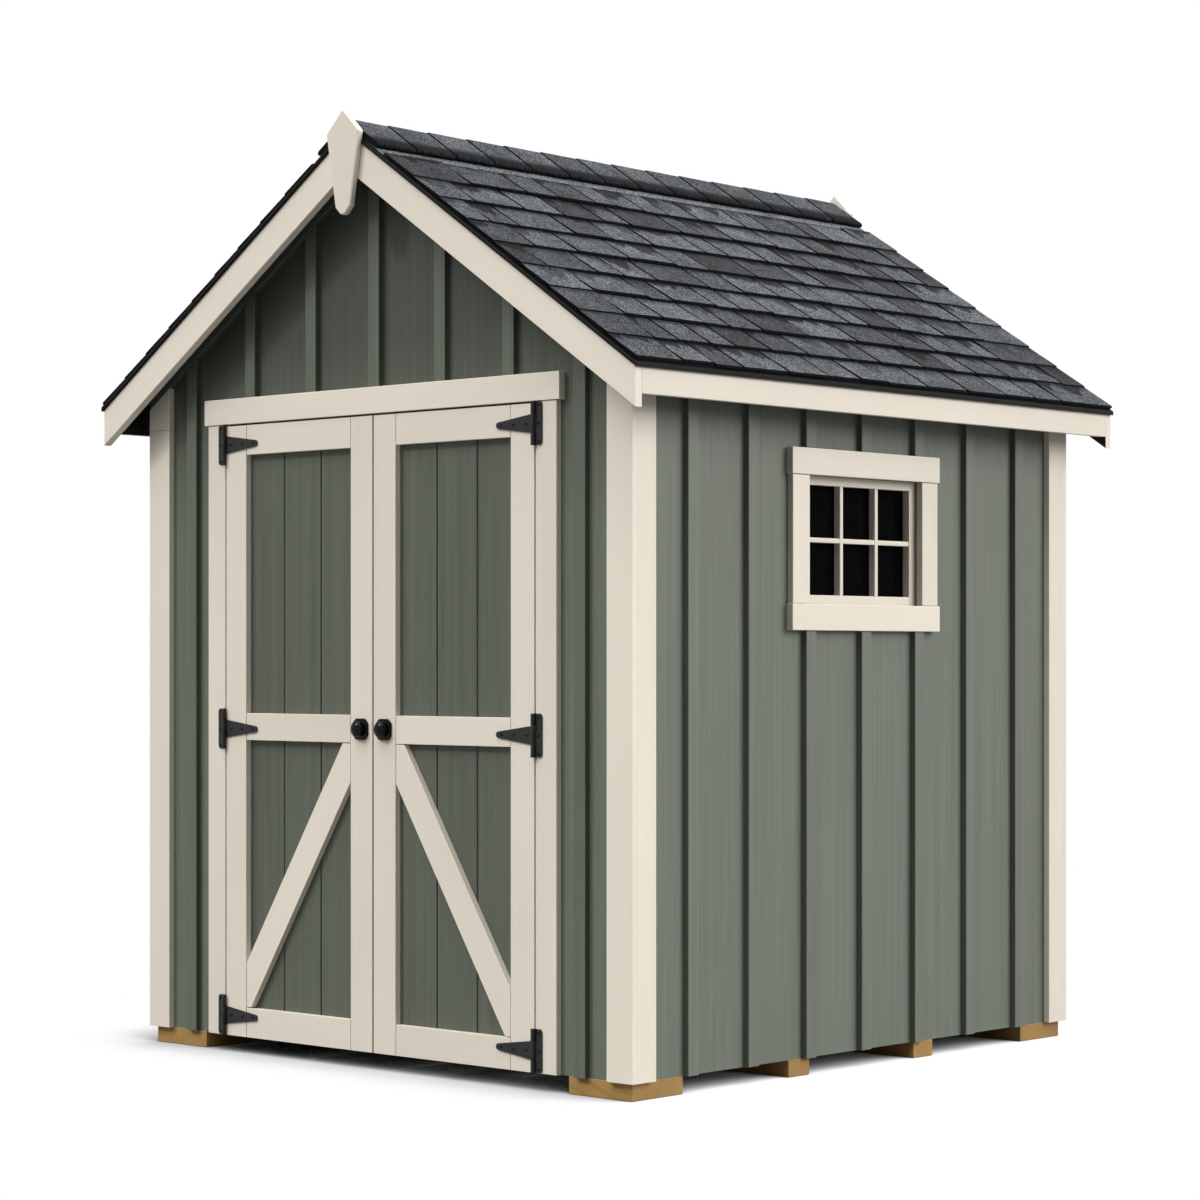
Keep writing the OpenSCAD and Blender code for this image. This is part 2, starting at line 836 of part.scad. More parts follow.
corner_blocks();
cross_skids();
floor_rims();
floor_joists();
floor_deck();
front_wall_left();
front_wall_right();
front_gable();
left_wall();
right_wall();
rear_wall();
side_plates();
end_plates();
window_bucks();
side_studs();
end_studs();
rafters();
ridge_board();
eave_blocks();
rake_friezes();
end_corner_boards();
side_corner_boards();
door_casing();
head_casing();
end_battens();
side_battens();
window_casing();
window_sash();
window_glass();
roof_deck_left();
roof_deck_right();
eave_fascias();
front_barge();
rear_barge();
finials();
drip_edge();
shingles_left();
shingles_right();
ridge_cap();
hinge_plates();
left_door_panel();
left_door_frame();
left_door_straps();
left_door_knob();
right_door_panel();
right_door_frame();
right_door_straps();
right_door_knob();
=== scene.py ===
"""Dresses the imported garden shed: boards, roof cover, ironwork, glass, light and camera."""

import logging
import math
import random
from dataclasses import dataclass, replace
from enum import Enum
from typing import Iterable, Sequence

import bmesh
import bpy
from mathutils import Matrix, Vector


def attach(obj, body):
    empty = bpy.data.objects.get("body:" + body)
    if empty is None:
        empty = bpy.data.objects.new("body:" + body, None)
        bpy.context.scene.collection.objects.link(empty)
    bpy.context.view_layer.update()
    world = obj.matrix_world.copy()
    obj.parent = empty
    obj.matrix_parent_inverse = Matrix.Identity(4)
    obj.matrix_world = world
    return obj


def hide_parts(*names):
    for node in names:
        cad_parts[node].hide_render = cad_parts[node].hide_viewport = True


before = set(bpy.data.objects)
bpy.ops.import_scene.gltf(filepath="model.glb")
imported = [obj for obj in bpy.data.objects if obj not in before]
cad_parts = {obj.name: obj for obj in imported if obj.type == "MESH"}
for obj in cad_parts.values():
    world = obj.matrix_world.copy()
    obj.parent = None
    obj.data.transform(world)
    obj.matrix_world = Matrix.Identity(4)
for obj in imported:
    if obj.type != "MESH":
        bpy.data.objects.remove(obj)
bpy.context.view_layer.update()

LOG = logging.getLogger("shed")
MM = 0.001
BUILDING = "building"
UPRIGHT = 90.0  # grain of a standing board, in degrees
UNIT = (0.0, 1.0)  # range of a mask
MIDDLE = (0.3, 0.7)  # range where most of a noise lies
WHITE = (1.0, 1.0, 1.0, 1.0)
GLOSS_SWING = (-0.06, 0.08)  # change of roughness over a surface
GRAIN_SHIFT = (3.0, 0.2, 0.2)  # farthest shift of a board's grain, in metres
WELD_GAP = 0.02
ROUND_STEPS = 2
ROUND_ANGLE = math.radians(35.0)

Triple = tuple[float, float, float]
Colour = Triple
Point = tuple[float, float]
Fit = tuple[Point, Point]  # a range that comes in and the one that goes out
Run = tuple[float, ...]  # scale or scales of a noise, then its detail and roughness
Face = tuple[int, ...]
Socket = bpy.types.NodeSocket


class Lay(Enum):
    """Axes of a board: the two of its outline, then the one through its thickness."""

    XZ = (0, 2, 1)
    YZ = (1, 2, 0)
    XY = (0, 1, 2)


class Grain(Enum):
    """Where a finish takes the run of the grain from."""

    BOARD = "board"
    X = 0
    Y = 1
    Z = 2


class Dim(Enum):
    """Faces of a board that lie in shade and take the finish's shade tone."""

    EDGES = 1
    BACK = 2


class Mirror(Enum):
    """A half of the shed, as the sign of the axis that leads to it."""

    def span(self, near: float, far: float) -> list[float]:
        """Low and high end of a stretch between two distances from the middle."""
        return sorted((self.value * near, self.value * far))


class Side(Mirror):
    """Left or right of the ridge, as the sign of X."""

    LEFT = -1
    RIGHT = 1


class End(Mirror):
    """Front or rear gable, as the sign of Y."""

    FRONT = -1
    REAR = 1


@dataclass(frozen=True)
class RoofLine:
    """Roof planes that the rake and roof pieces follow, in millimetres."""

    eave_z: float = 1940.0
    run: float = 1098.0
    rise: float = 8.0 / 12.0
    frieze_h: float = 64.0
    deck_t: float = 12.0

    @property
    def pitch(self) -> float:
        """Roof pitch in radians."""
        return math.atan(self.rise)

    @property
    def level(self) -> float:
        """Length along X for each unit of length down the slope."""
        return math.cos(self.pitch)

    def z(self, x: float, up: float = 0.0) -> float:
        """Height of the deck top at X, with a thickness added square to the roof."""
        return self.eave_z + (self.run - abs(x)) * self.rise + up / self.level

    def frieze_z(self, x: float) -> float:
        """Height of the lower edge of the board along the rake."""
        return self.z(x) - self.frieze_h

    def rake(self, near: float, far: float, first: float, second: float) -> list[Point]:
        """Outline of a board along one rake.

        Args:
            near: X of its end at the ridge.
            far: X of its end at the eave.
            first: Drop of its first edge below the deck top.
            second: Drop of its second edge.

        Returns:
            The four corners.
        """
        return [
            (near, self.z(near) - first), (far, self.z(far) - first),
            (far, self.z(far) - second), (near, self.z(near) - second),
        ]


ROOF = RoofLine()


def around(middle: float, width: float) -> Point:
    """Both ends of a width about its middle."""
    return middle - width / 2, middle + width / 2


def hoops(rings: int, sides: int) -> list[Face]:
    """Four-sided faces between neighbouring rings of corners.

    Args:
        rings: Number of rings.
        sides: Corners of each ring.

    Returns:
        The faces, ring by ring.
    """
    faces = []
    for start in range(0, (rings - 1) * sides, sides):
        for k in range(sides):
            a, b = start + k, start + (k + 1) % sides
            faces.append((a, b, b + sides, a + sides))
    return faces


class Wiring:
    """Short calls that wire one node tree."""

    def __init__(self, tree: bpy.types.NodeTree) -> None:
        """Take the tree to wire."""
        self.tree = tree

    def feed(self, socket: Socket, value: object) -> None:
        """Wire a socket to another one, or set its value.

        Args:
            socket: The input to fill.
            value: An output socket, or a plain value.
        """
        if isinstance(value, Socket):
            self.tree.links.new(value, socket)
        else:
            socket.default_value = value

    def add(self, kind: str, inputs: dict[object, object], **options: object) -> bpy.types.Node:
        """Add one node.

        Args:
            kind: Node type without its common prefix.
            inputs: Values or sockets by input name or index.
            options: Node properties to set.

        Returns:
            The new node.
        """
        node = self.tree.nodes.new("ShaderNode" + kind)
        for key, value in options.items():
            setattr(node, key, value)
        for key, value in inputs.items():
            self.feed(node.inputs[key], value)
        return node

    def math(self, operation: str, first: object, second: object = 0.0) -> Socket:
        """One arithmetic step."""
        return self.add("Math", {0: first, 1: second}, operation=operation).outputs[0]

    def product(self, first: Socket, *others: object) -> Socket:
        """Several numbers multiplied in turn.

        Args:
            first: Number socket.
            others: The other factors.

        Returns:
            The product.
        """
        for other in others:
            first = self.math("MULTIPLY", first, other)
        return first

    def fit(self, value: Socket, source: Point, target: Point) -> Socket:
        """Map a number from one range to another, held at the ends.

        Args:
            value: Number socket.
            source: Range that comes in.
            target: Range that goes out.

        Returns:
            The mapped number.
        """
        inputs = {
            "Value": value, "From Min": source[0], "From Max": source[1],
            "To Min": target[0], "To Max": target[1],
        }
        return self.add("MapRange", inputs).outputs["Result"]

    def seen(self) -> Socket:
        """Mask of the rays that show the background.

        Returns:
            One for rays from the camera, a mirror or glass, and zero for others.
        """
        path = self.add("LightPath", {}).outputs
        mask = path["Is Camera Ray"]
        for name in ("Is Glossy Ray", "Is Transmission Ray"):
            mask = self.math("MAXIMUM", mask, path[name])
        return mask


class Shade(Wiring):
    """One material with a Principled surface."""

    def __init__(self, name: str) -> None:
        """Start the material.

        Args:
            name: Name of the finish.
        """
        self.material = bpy.data.materials.new(name)
        self.material.use_nodes = True
        super().__init__(self.material.node_tree)
        self.surface = self.tree.nodes["Principled BSDF"]

    def set(self, **values: object) -> None:
        """Fill inputs of the surface, with underscores for the spaces in their names."""
        for key, value in values.items():
            self.feed(self.surface.inputs[key.replace("_", " ")], value)

    def stored(self, name: str, output: str = "Fac") -> Socket:
        """Value stored on the mesh under a name."""
        return self.add("Attribute", {}, attribute_name=name).outputs[output]

    def place(self, grain: Grain) -> Socket:
        """Position that a texture follows.

        Args:
            grain: Run of the grain.

        Returns:
            The stored board position, or the model's own.
        """
        if grain is Grain.BOARD:
            return self.stored("grain", "Vector")
        return self.add("TexCoord", {}).outputs["Object"]

    def split(self, place: Socket) -> Sequence[Socket]:
        """X, Y and Z of a position."""
        return self.add("SeparateXYZ", {0: place}).outputs

    def stretch(self, place: Socket, grain: Grain, along: float, across: float) -> Socket:
        """Scale a position differently along and across the grain.

        Args:
            place: Position socket.
            grain: Run of the grain.
            along: Factor along the grain.
            across: Factor across the grain.

        Returns:
            The scaled position.
        """
        factors = [across] * 3
        factors[0 if grain is Grain.BOARD else grain.value] = along
        return self.add("VectorMath", {0: place, 1: factors}, operation="MULTIPLY").outputs[0]

    def noise(self, place: Socket, scale: float, detail: float = 3.0, rough: float = 0.55) -> Socket:
        """Cloudy noise between 0 and 1 at a position."""
        inputs = {"Vector": place, "Scale": scale, "Detail": detail, "Roughness": rough}
        return self.add("TexNoise", inputs).outputs["Fac"]

    def drawn(self, place: Socket, grain: Grain, run: Run) -> Socket:
        """Noise drawn out along the grain.

        Args:
            place: Position socket.
            grain: Run of the grain.
            run: Factors along and across the grain, then detail and, where given, roughness.

        Returns:
            The noise between 0 and 1.
        """
        along, across, *kind = run
        return self.noise(self.stretch(place, grain, along, across), 1.0, *kind)

    def sway(self, value: Socket, source: Point, by: float) -> Socket:
        """Factor that swings about one by a share."""
        return self.fit(value, source, (1.0 - by, 1.0 + by))

    def uneven(self, value: Socket, rough: float) -> Socket:
        """Roughness that swings with a noise."""
        return self.fit(value, MIDDLE, (rough + GLOSS_SWING[0], rough + GLOSS_SWING[1]))

    def tint(self, colour: object, factor: Socket) -> Socket:
        """Colour made lighter or darker by a factor."""
        return self.add("VectorMath", {0: colour, "Scale": factor}, operation="SCALE").outputs[0]

    def blend(self, factor: Socket, first: object, second: object) -> Socket:
        """Mix of two colours."""
        colours = [c if isinstance(c, Socket) else (*c, 1.0) for c in (first, second)]
        return self.add("Mix", {0: factor, 6: colours[0], 7: colours[1]}, data_type="RGBA").outputs[2]

    def bump(self, height: Socket, strength: float, distance: float, under: Socket | None = None) -> Socket:
        """Surface relief from a height.

        Args:
            height: Height socket between 0 and 1.
            strength: Strength of the relief.
            distance: Depth of the relief in metres.
            under: Normal of a coarser relief to build on.

        Returns:
            The bent normal.
        """
        inputs = {"Strength": strength, "Distance": distance, "Height": height}
        if under is not None:
            inputs["Normal"] = under
        return self.add("Bump", inputs).outputs["Normal"]


@dataclass(frozen=True)
class Finish:
    """A named finish, wired on its first use and then shared."""

    name: str

    def material(self) -> bpy.types.Material:
        """Material of the finish.

        Returns:
            The wired material.
        """
        done = bpy.data.materials.get(self.name)
        if done is None:
            shade = Shade(self.name)
            self.wire(shade)
            done = shade.material
        return done

    def wire(self, shade: Shade) -> None:
        """Wire the material, in each finish's own way."""
        raise NotImplementedError


@dataclass(frozen=True)
class BoardPaint(Finish):
    """Paint over wood grain, brushed along the boards."""

    colour: Colour
    grain: Grain = Grain.BOARD
    streak: float = 0.12
    fibre: float = 0.05
    rough: float = 0.5
    relief: float = 0.35
    # painted highlight: share by which the rounded edges are painted lighter
    edge_highlight: float = 0.0
    shade_tone: float = 1.0
    specular: float = 0.25
    height_shade: Fit | None = None
    # Y of the groove bottoms, where the panel's grooves take painted shade
    joint: float | None = None
    joint_fit: Fit = ((0.0012, 0.0032), (0.1, 1.0))
    streak_run: Run = (0.9, 60.0, 5.0, 0.66)
    streak_mid: Point = (0.25, 0.75)
    streak_depth: float = 0.0012
    fibre_run: Run = (9.0, 300.0, 3.0, 0.6)
    fibre_depth: float = 0.0006
    cloud_run: Run = (1.1, 3.2, 2.0)
    cloud: float = 0.04

    def wire(self, shade: Shade) -> None:
        """Wire paint with streaks, fibres and uneven gloss, with a painted highlight on rounded edges and,
        where asked, painted shade on shaded faces, up the wall and in the joints.

        Args:
            shade: Material to wire.
        """
        place = shade.place(self.grain)
        streaks = shade.drawn(place, self.grain, self.streak_run)
        fibres = shade.drawn(place, self.grain, self.fibre_run)
        cloud = shade.drawn(place, self.grain, self.cloud_run)
        level = shade.product(
            shade.sway(streaks, self.streak_mid, self.streak),
            shade.sway(fibres, MIDDLE, self.fibre), shade.sway(cloud, MIDDLE, self.cloud),
        )
        if self.grain is Grain.BOARD:
            # painted highlight on the rounded edges
            lift = shade.fit(shade.stored("edge"), UNIT, (1.0, 1.0 + self.edge_highlight))
            # painted shade on the faces marked dim, which lie in shade
            dim = shade.fit(shade.stored("dim"), UNIT, (1.0, self.shade_tone))
            level = shade.product(level, shade.stored("tone"), lift, dim)
        # painted shade: darker up the wall, by height
        if self.height_shade:
            level = shade.product(level, shade.fit(shade.split(place)[2], *self.height_shade))
        # painted shade in the V-grooves, darkest at their bottoms
        if self.joint:
            off = shade.math("ABSOLUTE", shade.math("SUBTRACT", shade.split(place)[1], self.joint))
            level = shade.product(level, shade.fit(off, *self.joint_fit))
        broad = shade.bump(streaks, self.relief / 2, self.streak_depth)
        shade.set(
            Base_Color=shade.tint(self.colour, level), Roughness=shade.uneven(streaks, self.rough),
            Specular_IOR_Level=self.specular, Normal=shade.bump(fibres, self.relief, self.fibre_depth, broad),
        )


@dataclass(frozen=True)
class Timber(Finish):
    """Bare softwood with growth rings."""

    light: Colour
    dark: Colour
    grain: Grain = Grain.BOARD
    ring: float = 0.009
    warp: float = 5.0
    figure: float = 0.75
    rough: Point = (0.62, 0.5)
    relief: float = 0.4
    specular: float = 0.25
    # painted shade: timber past the walls, under the eaves, is made near black
    outside: bool = False
    wall: Point = (0.978, 0.990)
    eave_shade_colour: Colour = (0.010, 0.012, 0.010)
    tilt: Triple = (0.05, 0.045, 0.06)
    late_wood: Point = (0.45, 0.92)
    warp_run: Run = (1.6, 9.0, 3.0)
    fibre_run: Run = (6.0, 300.0, 3.0, 0.6)
    fibre_tone: Point = (0.9, 1.08)
    fibre_depth: float = 0.0008
    cloud_run: Run = (1.0, 7.0, 2.0)
    cloud_tone: Point = (0.86, 1.1)

    def wire(self, shade: Shade) -> None:
        """Wire wood whose rings show as lines on the faces and arcs on the ends.

        Args:
            shade: Material to wire.
        """
        place = shade.place(self.grain)
        warp = shade.drawn(place, self.grain, self.warp_run)
        tilted = shade.add("Mapping", {"Vector": place, "Rotation": self.tilt}).outputs[0]
        across = shade.stretch(tilted, self.grain, 0.0, 1.0)
        radius = shade.add("VectorMath", {0: across}, operation="LENGTH").outputs["Value"]
        turns = shade.math("ADD", shade.math("DIVIDE", radius, self.ring), shade.product(warp, self.warp))
        ring = shade.math("FRACT", turns)
        late = shade.product(
            shade.fit(ring, self.late_wood, UNIT), shade.fit(ring, (self.late_wood[1], 1.0), (1.0, 0.0))
        )
        fibres = shade.drawn(place, self.grain, self.fibre_run)
        cloud = shade.drawn(place, self.grain, self.cloud_run)
        level = shade.product(
            shade.fit(fibres, MIDDLE, self.fibre_tone), shade.fit(cloud, MIDDLE, self.cloud_tone)
        )
        if self.grain is Grain.BOARD:
            level = shade.product(level, shade.stored("tone"))
        colour = shade.tint(shade.blend(shade.product(late, self.figure), self.light, self.dark), level)
        # painted shade on the timber under the eaves
        if self.outside:
            colour = shade.blend(self.eave_shade_mask(shade, place), colour, self.eave_shade_colour)
        shade.set(
            Base_Color=colour, Roughness=shade.fit(late, UNIT, self.rough),
            Specular_IOR_Level=self.specular, Normal=shade.bump(fibres, self.relief, self.fibre_depth),
        )

    def eave_shade_mask(self, shade: Shade, place: Socket) -> Socket:
        """Mask of the eaves outside the walls, which take painted shade.

        Args:
            shade: Material that is being wired.
            place: Position socket.

        Returns:
            One outside the walls and zero inside.
        """
        masks = [
            shade.math("GREATER_THAN", shade.math("ABSOLUTE", far), wall)
            for far, wall in zip(shade.split(place), self.wall)
        ]
        return shade.math("MAXIMUM", *masks)


@dataclass(frozen=True)
class Granules(Finish):
    """Mineral granules of the roof cover, one tone to a tab."""

    colour: Colour = (0.072, 0.077, 0.084)
    rough: float = 0.94
    specular: float = 0.12
    # painted shade on cut edges, undersides, the bed and the marked slits and lip
    painted_shade_tone: float = 0.02
    # painted shadow below the butt of the course above: the first 30 mm of each tab darker
    head: Fit = ((0.0, 0.03), (0.42, 1.0))
    fleck_run: Run = (185.0, 165.0, 2.0, 0.75)
    fleck: Fit = ((0.37, 0.63), (0.25, 1.75))
    fleck_relief: Point = (0.4, 0.0012)
    speck_scale: float = 230.0
    speck: Fit = (UNIT, (0.45, 1.5))
    speck_relief: Point = (0.5, 0.0008)
    blotch_run: Run = (11.0, 3.0, 0.6)
    blotch: Fit = ((0.32, 0.68), (0.72, 1.28))
    patch_run: Run = (3.0, 9.0, 4.0, 0.6)
    patch_reach: Fit = ((0.40, 0.64), (-0.012, 0.078))
    patch_rim: Fit = ((-0.006, 0.006), (1.0, 0.0))
    patch_tone: float = 0.2

    def wire(self, shade: Shade) -> None:
        """Wire speckled charcoal with dark patches towards the head of some tabs, a painted shadow below each
        butt, and painted shade on cut edges, undersides, slits and the cap's lip.

        Args:
            shade: Material to wire.
        """
        place = shade.place(Grain.BOARD)
        down = shade.split(place)[0]
        flecks = shade.drawn(place, Grain.BOARD, self.fleck_run)
        fine = shade.add("TexVoronoi", {"Vector": place, "Scale": self.speck_scale}).outputs
        speck = shade.add("SeparateColor", {0: fine["Color"]}).outputs[0]
        blotch = shade.noise(place, *self.blotch_run)
        reach = shade.fit(shade.drawn(place, Grain.BOARD, self.patch_run), *self.patch_reach)
        rim = shade.fit(shade.math("SUBTRACT", down, reach), *self.patch_rim)
        patch = shade.product(rim, shade.stored("band"))
        # painted shadow at each tab's head; painted shade on marked edges, undersides, slits and lip
        level = shade.product(
            shade.fit(flecks, *self.fleck), shade.fit(speck, *self.speck), shade.fit(blotch, *self.blotch),
            shade.fit(down, *self.head), shade.stored("tone"), shade.fit(patch, UNIT, (1.0, self.patch_tone)),
            *(shade.fit(shade.stored(mark), UNIT, (1.0, self.painted_shade_tone)) for mark in ("edge", "shadow")),
        )
        broad = shade.bump(flecks, *self.fleck_relief)
        shade.set(
            Base_Color=shade.tint(self.colour, level), Roughness=self.rough,
            Specular_IOR_Level=self.specular, Normal=shade.bump(fine["Distance"], *self.speck_relief, broad),
        )


@dataclass(frozen=True)
class BlackMetal(Finish):
    """Black coat on metal, with a faint orange-peel texture."""

    colour: Colour
    rough: float
    peel: float = 0.12
    specular: float = 0.5
    peel_run: Run = (260.0, 2.0)
    peel_depth: float = 0.0006
    cloud_scale: float = 18.0
    cloud_tone: Point = (0.8, 1.25)

    def wire(self, shade: Shade) -> None:
        """Wire coated metal with uneven gloss and fine dust.

        Args:
            shade: Material to wire.
        """
        place = shade.place(Grain.X)
        peel = shade.noise(place, *self.peel_run)
        cloud = shade.noise(place, self.cloud_scale)
        shade.set(
            Base_Color=shade.tint(self.colour, shade.fit(cloud, MIDDLE, self.cloud_tone)),
            Roughness=shade.uneven(cloud, self.rough),
            Specular_IOR_Level=self.specular, Normal=shade.bump(peel, self.peel, self.peel_depth),
        )


@dataclass(frozen=True)
class PaneGlass(Finish):
    """Window glass, tinted near black as painted shade of the room behind it."""

    # near-black tint: painted shade of the room seen through the glass
    colour: Colour = (0.004, 0.004, 0.0045)
    ior: float = 1.05
    clear: float = 0.4
    specular: float = 0.1
    wave_run: Run = (5.0, 1.0)
    wave_relief: Point = (0.05, 0.002)
    dust_run: Run = (40.0, 4.0)
    dust_mid: Point = (0.35, 0.7)
    dust_tone: Point = (0.8, 1.3)
    rough: Point = (0.03, 0.09)

    def wire(self, shade: Shade) -> None:
        """Wire a pane tinted near black as painted shade, with a weak, slightly wavy reflection.

        Args:
            shade: Material to wire.
        """
        place = shade.place(Grain.X)
        wave = shade.noise(place, *self.wave_run)
        dust = shade.noise(place, *self.dust_run)
        shade.set(
            Base_Color=shade.tint(self.colour, shade.fit(dust, self.dust_mid, self.dust_tone)),
            Roughness=shade.fit(dust, self.dust_mid, self.rough), IOR=self.ior,
            Transmission_Weight=self.clear, Specular_IOR_Level=self.specular,
            Normal=shade.bump(wave, *self.wave_relief),
        )


@dataclass(frozen=True)
class Finishes:
    """All finishes of the shed."""

    # front boards: a shaded copy of the side boards, with painted shade on side faces and painted highlight on
    # rounded edges
    front_boards: BoardPaint = BoardPaint(
        "green_front_board_paint", (0.114, 0.128, 0.099),
        streak=0.18, specular=0.2, edge_highlight=0.15, shade_tone=0.6,
    )
    side_boards: BoardPaint = replace(
        front_boards, name="green_side_board_paint", colour=(0.119, 0.133, 0.104), specular=0.4
    )
    side_wall: BoardPaint = BoardPaint(
        "green_side_wall_paint", side_boards.colour, Grain.Z, streak=0.2, specular=0.4
    )
    # lit and shaded copy of the side wall's green: lighter at its foot, with painted shade up the gable
    front_wall: BoardPaint = replace(
        side_wall, name="green_front_wall_paint", colour=(0.128, 0.144, 0.111), specular=0.2,
        height_shade=((1.55, 2.1), (1.0, 0.47)),
    )
    # shaded copy of the side wall's green, darker by painted shade, with painted shade in the grooves
    door_wall: BoardPaint = replace(
        side_wall, name="green_door_wall_paint", colour=(0.095, 0.106, 0.081), specular=0.2, joint=-0.9885
    )
    # painted highlight on the rounded edges of the cream boards
    trim: BoardPaint = BoardPaint(
        "cream_trim_paint", (0.735, 0.672, 0.572),
        streak=0.014, fibre=0.014, rough=0.45, relief=0.1, edge_highlight=0.16,
    )
    # painted shade: the backs of the barge boards and fascias are made near black
    eave_trim: BoardPaint = replace(trim, name="cream_eave_paint", shade_tone=0.02)
    # painted shade on the side faces of the window boards; painted highlight on their rounded edges
    window_trim: BoardPaint = replace(trim, name="cream_window_paint", edge_highlight=0.12, shade_tone=0.62)
    base: Timber = Timber(
        "honey_base_timber", (0.37, 0.22, 0.07), (0.22, 0.11, 0.028), ring=0.006, warp=1.2, figure=0.4
    )
    floor: Timber = Timber("pine_floor_boards", (0.60, 0.42, 0.22), (0.40, 0.23, 0.09), ring=0.011)
    frame_z: Timber = Timber("pine_frame_z", (0.62, 0.45, 0.26), (0.43, 0.26, 0.11), Grain.Z)
    frame_x: Timber = replace(frame_z, name="pine_frame_x", grain=Grain.X, outside=True)
    frame_y: Timber = replace(frame_x, name="pine_frame_y", grain=Grain.Y)
    roofing: Granules = Granules("charcoal_granules")
    drip: BlackMetal = BlackMetal("black_drip_metal", (0.003, 0.003, 0.0032), 0.6, specular=0.1)
    iron: BlackMetal = BlackMetal("black_hinge_iron", (0.013, 0.013, 0.014), 0.5, specular=0.22)
    knob: BlackMetal = BlackMetal("black_knob_gloss", (0.002, 0.002, 0.0024), 0.12, 0.02, 0.11)
    glass: PaneGlass = PaneGlass("dark_pane_glass")


FINISH = Finishes()


